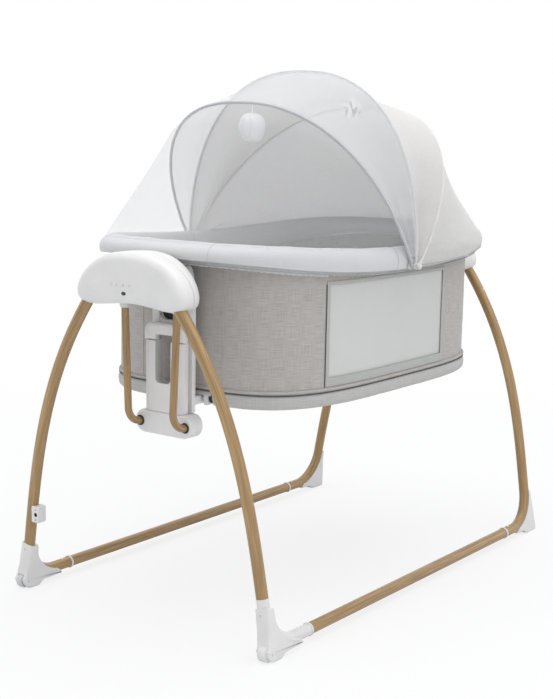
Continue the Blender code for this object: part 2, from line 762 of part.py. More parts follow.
def housing_shell(name, end, stations, finish):
    """A cup lofted through (y, inset) stations from its open edge to its closed face."""
    form = bmesh.new()
    rows = []
    for y, inset in stations:
        rows.append([form.verts.new((x, end * y, z)) for x, z in housing_outline(inset)])
    count = len(rows[0])
    for low, high in zip(rows, rows[1:]):
        for j in range(count):
            k = (j + 1) % count
            form.faces.new((low[j], low[k], high[k], high[j]))
    form.faces.new(rows[-1])
    bmesh.ops.recalc_face_normals(form, faces=form.faces)
    mesh = bpy.data.meshes.new(name)
    form.to_mesh(mesh)
    form.free()
    made = add_object(name, mesh, finish)
    outward = made.data.polygons[-1].normal.y * (stations[-1][0] - stations[0][0]) * end > 0
    wall = made.modifiers.new("shell_wall", "SOLIDIFY")
    wall.thickness = SHELL_WALL
    wall.offset = -1.0 if outward else 1.0
    wall.use_even_offset = True
    return as_mesh(made)


def build_housing(end):
    prefix = "motor_housing" if end == FRONT else "rear_hub"
    ramp_share = 0.35
    face = [(HOUSING_JOINT_Y + SEAT, 0.0), (HOUSING_EDGE_Y, 0.0),
            (HOUSING_EDGE_Y + (HOUSING_FACE_Y - HOUSING_EDGE_Y) * (1 - ramp_share), FACE_INSET * ramp_share),
            (HOUSING_FACE_Y, FACE_INSET)]
    cover = housing_shell(f"{prefix}_cover", end, face, GREY_FACE)
    back = [(HOUSING_JOINT_Y, 0.0), (HOUSING_BACK_Y + HOUSING_BACK_ROUND, 0.0),
            (HOUSING_BACK_Y + HOUSING_BACK_ROUND * ramp_share, BACK_INSET * ramp_share),
            (HOUSING_BACK_Y, BACK_INSET)]
    rear = housing_shell(f"{prefix}_back", end, back, WHITE)
    web_low, web_high = sorted((end * (WEB_Y - WEB_THICKNESS), end * WEB_Y))
    web = plate(f"{prefix}_web", housing_outline(SHELL_WALL / 2), "XZ", web_low, web_high, WHITE)
    combine(rear, web, "UNION")
    shaft_hole = cylinder(f"{prefix}_web_bore", BEARING_RADIUS + SEAT, end * (WEB_Y - BEARING_LENGTH),
                          end * (WEB_Y + BEARING_LENGTH), "Y", (0, PIVOT_HEIGHT), WHITE)
    combine(rear, shaft_hole)
    for side in (LEFT, RIGHT):
        combine(cover, leg_cutter(f"{prefix}_leg_{SIDE_NAMES[side]}", side, end))
        sway = math.tan(SWING_ANGLE) * (HOUSING_HALF_HEIGHT * 2)
        half = ARM_RADIUS + FERRULE_WALL + sway + RUNNING_GAP * 2
        middle = side * ARM_TOP_X
        depth = ARM_RADIUS + FERRULE_WALL + RUNNING_GAP
        low, high = sorted((end * (ARM_Y - depth), end * (ARM_Y + depth)))
        slot = box(f"{prefix}_slot_{SIDE_NAMES[side]}", (middle - half, low, LEG_TOP_Z - CUT),
                   (middle + half, high, PIVOT_HEIGHT - HOUSING_HALF_HEIGHT / 2), WHITE)
        combine(rear, slot)
    if end == FRONT:
        add_sensor_window(cover)
    smooth(as_mesh(cover))
    smooth(as_mesh(rear))


def add_sensor_window(cover):
    """A small dark oval lens, let into the face."""
    def oval(grow):
        steps = 20
        return [(LENS_X + (LENS_RADII[0] + grow) * math.cos(2 * math.pi * i / steps),
                 PIVOT_HEIGHT - LENS_DROP + (LENS_RADII[1] + grow) * math.sin(2 * math.pi * i / steps))
                for i in range(steps)]
    face = -HOUSING_FACE_Y
    combine(cover, plate("sensor_hole", oval(SEAT), "XZ", face - CUT, face + SHELL_WALL + CUT, BLACK))
    plate("sensor_window", oval(0.0), "XZ", face, face + SHELL_WALL, BLACK)


def build_bearings():
    """A bush in each web, in which the swing's shaft turns."""
    for end in (FRONT, REAR):
        low, high = sorted((end * WEB_Y, end * (WEB_Y - BEARING_LENGTH)))
        smooth(ring(f"{END_NAMES[end]}_bearing", SHAFT_RADIUS + SEAT, BEARING_RADIUS, low, high, "Y",
                    (0, PIVOT_HEIGHT), STEEL, 14))


def build_drive():
    """Gearbox and motor on the web, and the touch board behind the face."""
    seat = WEB_Y + SEAT * 2
    gearbox = cylinder("gearbox", GEARBOX_RADIUS, -(seat + GEARBOX_DEPTH), -seat, "Y",
                       (0, PIVOT_HEIGHT), GREY_FACE, 18)
    soften(gearbox, RUNNING_GAP, 1)
    gearbox = as_mesh(gearbox)
    bore = cylinder("gearbox_bore", SHAFT_RADIUS + SEAT, -(seat + GEARBOX_DEPTH / 2), -(seat - CUT),
                    "Y", (0, PIVOT_HEIGHT), STEEL, 14)
    combine(gearbox, bore)
    smooth(as_mesh(gearbox))
    motor_x = GEARBOX_RADIUS + MOTOR_RADIUS + SEAT
    motor = cylinder("drive_motor", MOTOR_RADIUS, -(WEB_Y + SEAT + MOTOR_LENGTH), -(WEB_Y + SEAT), "Y",
                     (motor_x, PIVOT_HEIGHT - MOTOR_RADIUS / 2), STEEL, 16)
    smooth(motor)
    half_width, half_height = BOARD_SIZE[0] / 2, BOARD_SIZE[1] / 2
    front = -(HOUSING_FACE_Y - SHELL_WALL)
    board_front = front + SEAT
    board = plate("touch_board", rounded_rectangle(-half_width, half_width, PIVOT_HEIGHT - half_height,
                                                   PIVOT_HEIGHT + half_height, BOARD_STANDOFF_RADIUS),
                  "XZ", board_front, board_front + BOARD_THICKNESS, CIRCUIT)
    smooth(board)


# Swing


def arm_path(side, end, bend_steps=6):
    """From the yoke down to the lower bar, turning in under the bassinet."""
    top = PIVOT_HEIGHT - YOKE_HALF_HEIGHT - SEAT
    bend = BAR_HEIGHT + ARM_BEND_RADIUS
    points = [Vector((side * ARM_TOP_X, end * ARM_Y, top)),
              Vector((side * ARM_TOP_X, end * ARM_Y, PIVOT_HEIGHT - FERRULE_DROP - FERRULE_LENGTH))]
    for i in range(bend_steps + 1):
        angle = math.pi / 2 * i / bend_steps
        y = ARM_Y - ARM_BEND_RADIUS * (1 - math.cos(angle))
        points.append(Vector((side * ARM_LOW_X, end * y, bend - ARM_BEND_RADIUS * math.sin(angle))))
    points.append(Vector((side * ARM_LOW_X, end * (BAR_FRONT_Y - ARM_SEAT), BAR_HEIGHT)))
    return points


def build_arms(end):
    """Two bent arms, each with a ferrule below the housing, hang from a yoke on the shaft."""
    end_name = END_NAMES[end]
    for side, side_name in SIDE_NAMES.items():
        name = f"{end_name}_arm_{side_name}"
        arm = as_mesh(tube(name, arm_path(side, end), ARM_RADIUS, WOOD))
        top = PIVOT_HEIGHT - FERRULE_DROP + CUT
        ferrule = cylinder(name + "_ferrule", ARM_RADIUS + FERRULE_WALL, top - FERRULE_LENGTH, top, "Z",
                           (side * ARM_TOP_X, end * ARM_Y), WHITE, 16)
        combine(arm, ferrule, "UNION")
        smooth(as_mesh(arm))
    half = ARM_TOP_X + ARM_RADIUS + FERRULE_WALL
    low, high = sorted((end * (ARM_Y - YOKE_HALF_DEPTH), end * (ARM_Y + YOKE_HALF_DEPTH)))
    yoke = plate(f"{end_name}_yoke", rounded_rectangle(-half, half, PIVOT_HEIGHT - YOKE_HALF_HEIGHT,
                                                       PIVOT_HEIGHT + YOKE_HALF_HEIGHT,
                                                       YOKE_HALF_HEIGHT * YOKE_ROUND_SHARE),
                 "XZ", low, high, STEEL)
    reach = WEB_Y + SEAT + (GEARBOX_DEPTH / 2 - SEAT if end == FRONT else 0)
    shaft = cylinder(f"{end_name}_shaft", SHAFT_RADIUS, end * reach, end * ARM_Y, "Y",
                     (0, PIVOT_HEIGHT), STEEL, 14)
    combine(yoke, shaft, "UNION")
    smooth(as_mesh(yoke))


def build_bracket(end):
    """Lower bar, tower and release handle, which hold the bassinet's socket plate."""
    end_name = END_NAMES[end]
    low, high = sorted((end * BAR_BACK_Y, end * BAR_FRONT_Y))
    bar = plate(f"{end_name}_lower_bar",
                rounded_rectangle(-BAR_HALF_LENGTH, BAR_HALF_LENGTH, BAR_HEIGHT - BAR_HALF_HEIGHT,
                                  BAR_HEIGHT + BAR_HALF_HEIGHT, BAR_HALF_HEIGHT * BAR_ROUND_SHARE, 5),
                "XZ", low, high, WHITE, bevel=BRACKET_ROUND, bevel_steps=1)
    for side, side_name in SIDE_NAMES.items():
        hole = cylinder(f"{end_name}_arm_hole_{side_name}", ARM_RADIUS + SEAT, end * (BAR_FRONT_Y + CUT),
                        end * (BAR_FRONT_Y - ARM_SEAT - SEAT), "Y", (side * ARM_LOW_X, BAR_HEIGHT),
                        WHITE, 16)
        combine(bar, hole)
    smooth(as_mesh(bar))

    bottom = BAR_HEIGHT + BAR_HALF_HEIGHT + SEAT
    low, high = sorted((end * TOWER_BACK_Y, end * BAR_FRONT_Y))
    outer, inner = TOWER_HALF_WIDTH, WINDOW_HALF_WIDTH
    corner = BRACKET_ROUND
    tower_outline = [(-outer, bottom), (outer, bottom), (outer, HANDLE_BOTTOM - SEAT),
                     (inner, HANDLE_BOTTOM - SEAT), (inner, WINDOW_BOTTOM + corner),
                     (inner - corner, WINDOW_BOTTOM), (corner - inner, WINDOW_BOTTOM),
                     (-inner, WINDOW_BOTTOM + corner), (-inner, HANDLE_BOTTOM - SEAT),
                     (-outer, HANDLE_BOTTOM - SEAT)]
    tower = plate(f"{end_name}_tower", tower_outline, "XZ", low, high, WHITE)
    round_sides(tower, end)
    handle_back = TOWER_BACK_Y + RIB_DEPTH + RUNNING_GAP
    for side, side_name in SIDE_NAMES.items():
        half = RIB_HALF_WIDTH + RUNNING_GAP
        near, far = sorted((end * (TOWER_BACK_Y - CUT), end * handle_back))
        groove = box(f"{end_name}_groove_{side_name}", (side * RIB_X - half, near, bottom - CUT),
                     (side * RIB_X + half, far, HANDLE_BOTTOM + CUT), WHITE)
        combine(tower, groove)
        socket = cylinder(f"{end_name}_pin_hole_{side_name}", HANDLE_PIN_RADIUS + SEAT,
                          HANDLE_BOTTOM - HANDLE_PIN_LENGTH - SEAT, HANDLE_BOTTOM + CUT, "Z",
                          (side * RIB_X, end * handle_pin_y()), WHITE, 12)
        combine(tower, socket)
    smooth(as_mesh(tower))
    build_handle(end, handle_back)


def handle_pin_y():
    """The handle's pins run down the middle of what is left of the tower in front of the grooves."""
    return (BAR_FRONT_Y + TOWER_BACK_Y + RIB_DEPTH + RUNNING_GAP) / 2


def round_sides(tower, end):
    """Round the tower's long front corners into half columns."""
    form = bmesh.new()
    form.from_mesh(tower.data)
    chosen = []
    for edge in form.edges:
        a, b = edge.verts[0].co, edge.verts[1].co
        upright = abs(a.z - b.z) > TOWER_HALF_WIDTH
        front = min(abs(a.y), abs(b.y)) > BAR_FRONT_Y - SEAT
        outside = min(abs(a.x), abs(b.x)) > TOWER_HALF_WIDTH - SEAT
        if upright and front and outside:
            chosen.append(edge)
    bmesh.ops.bevel(form, geom=chosen, offset=TOWER_SIDE_ROUND, segments=4, profile=0.5,
                    affect="EDGES")
    form.to_mesh(tower.data)
    form.free()


def build_handle(end, back_y):
    """An arch over the window, pulled up on two pins to free the bassinet."""
    end_name = END_NAMES[end]
    outer = TOWER_HALF_WIDTH + HANDLE_OVERHANG
    inner = WINDOW_HALF_WIDTH
    corner = BRACKET_ROUND
    shoulder = HANDLE_TOP - HANDLE_BOTTOM
    arch = [(-outer, HANDLE_BOTTOM), (-inner, HANDLE_BOTTOM), (-inner, WINDOW_TOP - corner),
            (corner - inner, WINDOW_TOP), (inner - corner, WINDOW_TOP), (inner, WINDOW_TOP - corner),
            (inner, HANDLE_BOTTOM), (outer, HANDLE_BOTTOM)]
    steps = 5
    shoulder_round_share = 0.55
    radius = shoulder * shoulder_round_share
    for i in range(steps + 1):
        angle = math.pi / 2 * i / steps
        arch.append((outer - radius * (1 - math.cos(angle)), HANDLE_TOP - radius * (1 - math.sin(angle))))
    for i in range(steps + 1):
        angle = math.pi / 2 * (1 - i / steps)
        arch.append((-outer + radius * (1 - math.cos(angle)), HANDLE_TOP - radius * (1 - math.sin(angle))))
    low, high = sorted((end * back_y, end * BAR_FRONT_Y))
    handle = plate(f"{end_name}_release_handle", arch, "XZ", low, high, WHITE)
    for side, side_name in SIDE_NAMES.items():
        pin = cylinder(f"{end_name}_handle_pin_{side_name}", HANDLE_PIN_RADIUS,
                       HANDLE_BOTTOM - HANDLE_PIN_LENGTH, HANDLE_BOTTOM + CUT, "Z",
                       (side * RIB_X, end * handle_pin_y()), WHITE, 12)
        combine(handle, pin, "UNION")
    smooth(as_mesh(handle))


def build_swing():
    for end in (FRONT, REAR):
        build_arms(end)
        build_bracket(end)


# Bassinet frame


def rim_tube_points():
    points = []
    for angle in loop_angles():
        centre, out, half_width = rim_station(angle)
        x, y = centre + out * (half_width - RIM_TUBE_INSET)
        points.append(Vector((x, y, rim_height(y))))
    return points


def base_tube_points():
    inset = BASE_TUBE_RADIUS - WALL_THICKNESS / 2 + SEAT
    points = []
    for angle in loop_angles():
        x, y = oval_loop(WALL_A - inset, WALL_B - inset, WALL_POWER, angle)
        points.append(Vector((x, y, BASE_TUBE_HEIGHT)))
    return points


def build_frame():
    tube("rim_tube", rim_tube_points(), RIM_TUBE_RADIUS, STEEL, ROD_ROUND_STEPS, closed=True)
    tube("base_tube", base_tube_points(), BASE_TUBE_RADIUS, STEEL, SMALL_ROUND_STEPS, closed=True)
    for end in (FRONT, REAR):
        build_socket_plate(end)


def clamp_top():
    return BASE_TUBE_HEIGHT + BASE_TUBE_RADIUS / 2


def plate_outline(bottom, top, steps=4):
    """Straight sides up to the shoulders, then a narrower neck up to the rim."""
    shoulder = PLATE_SLOT_TOP + PLATE_NECK_RISE
    radius = PLATE_HALF_WIDTH - PLATE_NECK_HALF_WIDTH
    right = [(PLATE_HALF_WIDTH, bottom)]
    for i in range(steps + 1):
        turn = math.pi / 2 * i / steps
        right.append((PLATE_HALF_WIDTH - radius * (1 - math.cos(turn)), shoulder + radius * math.sin(turn)))
    right.append((PLATE_NECK_HALF_WIDTH, top))
    return right + [(-x, z) for x, z in reversed(right)]


def build_socket_plate(end):
    """The upright that rests on the lower bar, clamps the base tube and carries the rim tube."""
    end_name = END_NAMES[end]
    front = TOWER_BACK_Y - RUNNING_GAP / 2
    bottom = BAR_HEIGHT + BAR_HALF_HEIGHT + SEAT
    rim_tube_y = RIM_OUTER_A - RIM_TUBE_INSET
    top = rim_height(PLATE_BACK_Y) - RIM_HALF_THICKNESS - SEAT
    low, high = sorted((end * PLATE_BACK_Y, end * front))
    hole = RIB_X - RIB_HALF_WIDTH
    window = rounded_rectangle(-hole, hole, WINDOW_BOTTOM, WINDOW_TOP, BRACKET_ROUND, 2)
    slot = rounded_rectangle(-hole, hole, PLATE_SLOT_BOTTOM, PLATE_SLOT_TOP, BRACKET_ROUND, 2)
    upright = plate(f"{end_name}_socket_plate", plate_outline(bottom, top), "XZ", low, high, WHITE,
                    holes=(window, slot))
    for side, side_name in SIDE_NAMES.items():
        near, far = sorted((end * (front - CUT), end * (front + RIB_DEPTH)))
        rib = box(f"{end_name}_rib_{side_name}", (side * RIB_X - RIB_HALF_WIDTH, near, bottom + CUT),
                  (side * RIB_X + RIB_HALF_WIDTH, far, RIB_TOP), WHITE)
        combine(upright, rib, "UNION")
    near, far = sorted((end * (PLATE_BACK_Y + CUT), end * (rim_tube_y + RIM_TUBE_RADIUS)))
    flange = box(f"{end_name}_flange", (BRACKET_ROUND - PLATE_NECK_HALF_WIDTH, near, top - FLANGE_THICKNESS),
                 (PLATE_NECK_HALF_WIDTH - BRACKET_ROUND, far, top - SEAT), WHITE)
    combine(upright, flange, "UNION")
    cheek = RIM_TUBE_RADIUS + RIM_GROOVE_GAP / 2
    near, far = sorted((end * (rim_tube_y - cheek), end * (rim_tube_y + cheek)))
    saddle = box(f"{end_name}_saddle", (-SADDLE_HALF_WIDTH, near, top - CUT),
                 (SADDLE_HALF_WIDTH, far, rim_height(rim_tube_y)), WHITE)
    combine(upright, saddle, "UNION")
    combine(upright, as_mesh(as_cutter(tube(f"{end_name}_rim_bore", rim_tube_points(),
                                            RIM_TUBE_RADIUS + SEAT, STEEL, ROD_ROUND_STEPS, closed=True))))
    near, far = sorted((end * (PLATE_BACK_Y + CUT), end * (PLATE_BACK_Y - CLAMP_DEPTH)))
    clamp = box(f"{end_name}_clamp", (-CLAMP_HALF_WIDTH, near, BAND_BOTTOM),
                (CLAMP_HALF_WIDTH, far, clamp_top()), WHITE)
    combine(upright, clamp, "UNION")
    combine(upright, as_mesh(as_cutter(tube(f"{end_name}_base_bore", base_tube_points(),
                                            BASE_TUBE_RADIUS + SEAT, STEEL, closed=True))))
    smooth(as_mesh(upright))


# Bassinet fabric


def angle_at_y(y, side, a, power):
    """The loop angle at which the long side passes a given y."""
    share = math.copysign((abs(y) / a) ** (power / 2), y)
    angle = math.asin(share)
    return angle % (2 * math.pi) if side == RIGHT else math.pi - angle


def wall_angles():
    """The even loop angles, with the ones nearest a window's edge moved onto it."""
    angles = loop_angles()
    edges = []
    for side in (RIGHT, LEFT):
        for y in (NET_FRONT_Y, NET_REAR_Y):
            exact = angle_at_y(y, side, WALL_A, WALL_POWER)
            nearest = min(range(len(angles)), key=lambda i: abs(angles[i] - exact))
            angles[nearest] = exact
            edges.append(nearest)
    return angles, edges


def window_columns(edges):
    """The wall cells of the right and left windows."""
    right_front, right_rear, left_front, left_rear = edges
    right = [(right_front + i) % LOOP_STEPS for i in range((right_rear - right_front) % LOOP_STEPS)]
    left = [(left_rear + i) % LOOP_STEPS for i in range((left_front - left_rear) % LOOP_STEPS)]
    return right, left


def wall_row(angles, height, a=WALL_A, b=WALL_B):
    """One row of the wall: height is a number, or a function of y."""
    row = []
    for angle in angles:
        x, y = oval_loop(a, b, WALL_POWER, angle)
        row.append((x, y, height(y) if callable(height) else height))
    return row


def rim_underside(y):
    return rim_height(y) - RIM_HALF_THICKNESS - SEAT


def build_walls():
    """A cloth wall round the bassinet, with a net window let into each long side."""
    angles, edges = wall_angles()
    right, left = window_columns(edges)
    rows = [wall_row(angles, BAND_TOP + SEAT), wall_row(angles, NET_BOTTOM), wall_row(angles, NET_TOP),
            wall_row(angles, rim_underside)]
    missing = {(1, column) for column in right + left}
    smooth(sheet("wall_fabric", rows, WALL_THICKNESS, LINEN, missing, closed=True))
    trim = SEAT + WALL_THICKNESS / 2
    for side, side_name, columns in ((RIGHT, "right", right), (LEFT, "left", left)):
        span = [angles[column] for column in columns] + [angles[(columns[-1] + 1) % LOOP_STEPS]]
        front = angle_at_y(NET_FRONT_Y + trim, side, WALL_A, WALL_POWER)
        rear = angle_at_y(NET_REAR_Y - trim, side, WALL_A, WALL_POWER)
        span[0], span[-1] = (front, rear) if side == RIGHT else (rear, front)
        rows = [wall_row(span, NET_BOTTOM + SEAT), wall_row(span, NET_TOP - SEAT)]
        smooth(sheet(f"window_net_{side_name}", rows, NET_THICKNESS, NET))


def build_band():
    """The sleeve round the base tube, notched from below where the socket plates clamp the tube."""
    grow = BAND_THICKNESS / 2 + WALL_THICKNESS / 2
    rows = [wall_row(loop_angles(), height, WALL_A + grow, WALL_B + grow)
            for height in (BAND_BOTTOM, BAND_TOP)]
    band = as_mesh(sheet("base_band", rows, BAND_THICKNESS, PALE, closed=True))
    half = CLAMP_HALF_WIDTH + RUNNING_GAP
    top = clamp_top() + SEAT
    for end in (FRONT, REAR):
        near, far = sorted((end * (WALL_A - CUT), end * (WALL_A + grow + CUT)))
        combine(band, box(f"{END_NAMES[end]}_notch", (-half, near, BAND_BOTTOM - CUT), (half, far, top),
                          PALE))
    smooth(as_mesh(band))


def rim_section(angle, steps=8):
    """The pad's section at one place of the rim: an oval with a groove beneath for the tube."""
    middle, out, half_width = rim_station(angle)
    groove = half_width - RIM_TUBE_INSET
    groove_half = RIM_TUBE_RADIUS + RIM_GROOVE_GAP
    height = rim_height(middle.y)

    def underside(offset):
        share = max(0.0, 1 - (offset / half_width) ** 2)
        return -RIM_HALF_THICKNESS * math.sqrt(share)

    start = math.atan2(underside(groove + groove_half) / RIM_HALF_THICKNESS,
                       (groove + groove_half) / half_width)
    stop = math.atan2(underside(groove - groove_half) / RIM_HALF_THICKNESS,
                      (groove - groove_half) / half_width) + 2 * math.pi
    profile = []
    for i in range(steps + 1):
        turn = start + (stop - start) * i / steps
        profile.append((half_width * math.cos(turn), RIM_HALF_THICKNESS * math.sin(turn)))
    tube_drop = rim_height(middle.y + out.y * groove) - height
    ceiling = tube_drop + RIM_TUBE_RADIUS + SEAT
    profile += [(groove - groove_half, ceiling), (groove + groove_half, ceiling)]
    return [(middle.x + out.x * offset, middle.y + out.y * offset, height + rise)
            for offset, rise in profile]


def build_rim_pad():
    smooth(loft("rim_pad", [rim_section(angle) for angle in loop_angles()], PALE, closed=True),
           math.radians(50))


def build_bed():
    """The stiff floor board on the base tube, and the mattress on the board."""
    grow = -(WALL_THICKNESS / 2 + LINER_GAP)
    bottom = BASE_TUBE_HEIGHT + BASE_TUBE_RADIUS + SEAT
    outline = [oval_loop(WALL_A + grow, WALL_B + grow, WALL_POWER, angle) for angle in wall_angles()[0]]
    smooth(plate("floor_board", outline, "XY", bottom, bottom + BOARD_HEIGHT, LINEN))
    bottom += BOARD_HEIGHT + SEAT
    smooth(plate("mattress", outline, "XY", bottom, bottom + MATTRESS_HEIGHT, QUILT,
                 bevel=MATTRESS_ROUND, bevel_steps=1))


# Hood


def bow_size(order):
    """Half width and reach of a bow: order 0 is the inmost in front, 2 the outmost at the rear."""
    return BOW_INNER_X + order * BOW_SPACING, BOW_REACHES[order]


def arch_profile(share):
    """Across and rise of an arch of unit size: share 0 is its right foot, 1 its left."""
    turn = math.pi * share
    c, s = math.cos(turn), math.sin(turn)
    return math.copysign(abs(c) ** (2 / BOW_POWER), c), s ** (2 / BOW_POWER)


def arch_stations():
    """Points of the unit arch, evenly spaced along its length, without its two feet."""
    count = BOW_STEPS * BOW_FINE_STEPS
    fine = [arch_profile(i / count) for i in range(count + 1)]
    lengths = [0.0]
    for a, b in zip(fine, fine[1:]):
        lengths.append(lengths[-1] + math.dist(a, b))
    stations = []
    for i in range(1, BOW_STEPS):
        wanted = lengths[-1] * i / BOW_STEPS
        stations.append(next(point for point, length in zip(fine, lengths) if length >= wanted))
    return stations


def lean_point(x, rise, angle):
    """A point at a height above the hood's pins, leaned forwards by an angle."""
    return Vector((x, HOOD_PIVOT_Y - rise * math.sin(angle), HOOD_PIVOT_Z + rise * math.cos(angle)))


def bow_outline(order):
    """Across and rise of the rod's bends, from the root in the right eye to that in the left."""
    half_width, reach = bow_size(order)
    root = EYE_RADIUS * EYE_ROOT_SHARE
    bends = [(across * half_width, rise * reach) for across, rise in arch_stations()]
    return [(half_width, root)] + bends + [(-half_width, root)]


def bow_path(order, angle):
    return [lean_point(x, rise, angle) for x, rise in bow_outline(order)]


def cloth_outline(order):
    """The bow's outline with both ends drawn up, so that cloth stays clear of the eyes."""
    outline = bow_outline(order)
    for end, neighbour in ((0, 1), (-1, -2)):
        outline[end] = tuple(a + (b - a) * HOOD_START_SHARE
                             for a, b in zip(outline[end], outline[neighbour]))
    return outline


def cloth_edge(order, angle, side):
    """Points along one face of a bow's rod, side 1 in front of it and -1 behind."""
    gap = BOW_RADIUS + SEAT + HOOD_SHEET / 2
    return [lean_point(x, rise, angle + side * gap / rise) for x, rise in cloth_outline(order)]


def build_bow(name, order, angle):
    """One bow: a rod with an eye at each foot."""
    half_width = bow_size(order)[0]
    rod = as_mesh(tube(name, bow_path(order, angle), BOW_RADIUS, BINDING, ROD_ROUND_STEPS))
    for side in (LEFT, RIGHT):
        eye = cylinder(f"{name}_eye_{SIDE_NAMES[side]}", EYE_RADIUS, side * half_width - BOW_RADIUS,
                       side * half_width + BOW_RADIUS, "X", (HOOD_PIVOT_Y, HOOD_PIVOT_Z), BINDING, 16)
        combine(rod, eye, "UNION")
        bore = cylinder(f"{name}_bore_{SIDE_NAMES[side]}", HOOD_PIN_RADIUS + SEAT,
                        side * half_width - BOW_RADIUS - CUT, side * half_width + BOW_RADIUS + CUT, "X",
                        (HOOD_PIVOT_Y, HOOD_PIVOT_Z), BINDING, 12)
        combine(rod, bore)
    smooth(as_mesh(rod))


def build_hood_pins():
    """At each side a clip on the rim carries the pin for the three bows."""
    outmost = bow_size(2)[0] + BOW_RADIUS
    for side in (LEFT, RIGHT):
        start = RIM_OUTER_B + SEAT
        stop = bow_size(0)[0] - BOW_RADIUS - SEAT
        clip = cylinder(f"hood_clip_{SIDE_NAMES[side]}", HOOD_CLIP_RADIUS, side * start, side * stop, "X",
                        (HOOD_PIVOT_Y, HOOD_PIVOT_Z), WHITE, 16)
        pin = cylinder("hood_pin", HOOD_PIN_RADIUS, side * (start + SEAT),
                       side * (outmost + HOOD_PIN_CAP / 2), "X", (HOOD_PIVOT_Y, HOOD_PIVOT_Z), WHITE, 12)
        cap = cylinder("hood_cap", HOOD_PIN_CAP_RADIUS, side * (outmost + SEAT),
                       side * (outmost + SEAT + HOOD_PIN_CAP), "X", (HOOD_PIVOT_Y, HOOD_PIVOT_Z), WHITE, 16)
        combine(clip, pin, "UNION")
        combine(clip, cap, "UNION")
        smooth(as_mesh(clip))


def hood_panel(name, front, rear, finish, across=3):
    """The cloth between two neighbouring bows, each given as (order, angle)."""
    gap = BOW_RADIUS + SEAT
    rows = []
    for j in range(across + 1):
        mix = j / across
        row = []
        for (x0, rise0), (x1, rise1) in zip(cloth_outline(front[0]), cloth_outline(rear[0])):
            angle0, angle1 = front[1] - gap / rise0, rear[1] + gap / rise1
            row.append(lean_point(x0 + (x1 - x0) * mix, rise0 + (rise1 - rise0) * mix,
                                  angle0 + (angle1 - angle0) * mix))
        rows.append(row)
    smooth(sheet(name, rows, HOOD_SHEET, finish))


def pad_side_point(angle, turn, gap):
    """A point just off the rim pad's skin: turn 0 is its outermost line, a quarter turn its crest."""
    middle, out, half_width = rim_station(angle)
    reach = (half_width + gap) * math.cos(turn)
    rise = (RIM_HALF_THICKNESS + gap) * math.sin(turn)
    return Vector((middle.x + out.x * reach, middle.y + out.y * reach, rim_height(middle.y) + rise))


def between(first, last, mixes):
    """Rows of points part of the way from one row to another."""
    return [[a.lerp(b, mix) for a, b in zip(first, last)] for mix in mixes]


def build_rear_hood():
    """The fixed rear of the hood: from the rear bow down over the outside of the rim."""
    angles = loop_angles()[:LOOP_STEPS // 2 + 1]
    top = cloth_edge(2, REAR_BOW_ANGLE, -1)
    gap = SKIRT_GAP + HOOD_SHEET / 2
    skirt = [[pad_side_point(angle, turn, gap) for angle in angles] for turn in SKIRT_TURNS]
    rows = between(top, skirt[0], REAR_PANEL_SHARES) + skirt
    smooth(sheet("hood_rear_panel", rows, HOOD_SHEET, HOOD))


def build_front_net():
    """The sheer net from the front bow down to the crest of the rim in front."""
    angles = loop_angles()[:LOOP_STEPS // 2:-1]
    top = cloth_edge(0, FRONT_BOW_ANGLE, 1)[1:-1]
    hem = [pad_side_point(angle, NET_TURN, SEAT + HOOD_SHEET / 2) for angle in angles]
    smooth(sheet("front_net", between(top, hem, NET_ROW_SHARES), HOOD_SHEET, NET))


def build_hood():
    build_hood_pins()
    build_bow("rear_bow", 2, REAR_BOW_ANGLE)
    build_bow("middle_bow", 1, MIDDLE_BOW_ANGLE)
    build_bow("front_bow", 0, FRONT_BOW_ANGLE)
    hood_panel("hood_top_panel", (1, MIDDLE_BOW_ANGLE), (2, REAR_BOW_ANGLE), HOOD)
    hood_panel("net_top_panel", (0, FRONT_BOW_ANGLE), (1, MIDDLE_BOW_ANGLE), NET)
    build_rear_hood()
    build_front_net()


# Toys


def toy_anchor(x, order, angle):
    """The point under a bow, whose rod runs straight between its bends, from which a toy hangs."""
    points = bow_path(order, angle)
    start, stop = next((a, b) for a, b in zip(points, points[1:]) if b.x <= x <= a.x)
    at = start.lerp(stop, (start.x - x) / (start.x - stop.x))
    along = stop - start
    slope = abs(along.z) / math.hypot(along.x, along.y)
    drop = BOW_RADIUS * math.sqrt(1 + slope ** 2) + TOY_STRAP_RADIUS * slope + SEAT * 2
    return at - Vector((0, 0, drop))


def build_toy_ball():
    """A ribbed plush ball on a short strap from the front bow."""
    anchor = toy_anchor(BALL_X, 0, FRONT_BOW_ANGLE)
    form = bmesh.new()
    bmesh.ops.create_uvsphere(form, u_segments=14, v_segments=8, radius=1.0)
    bmesh.ops.scale(form, vec=BALL_RADII, verts=form.verts)
    centre = anchor - Vector((0, 0, TOY_STRAP_LENGTH + BALL_RADII[2]))
    bmesh.ops.translate(form, vec=centre, verts=form.verts)
    mesh = bpy.data.meshes.new("toy_ball")
    form.to_mesh(mesh)
    form.free()
    ball = add_object("toy_ball", mesh, PLUSH)
    strap = cylinder("toy_ball_strap", TOY_STRAP_RADIUS, anchor.z, centre.z, "Z",
                     (anchor.x, anchor.y), PLUSH, 8)
    combine(ball, strap, "UNION")
    smooth(as_mesh(ball))


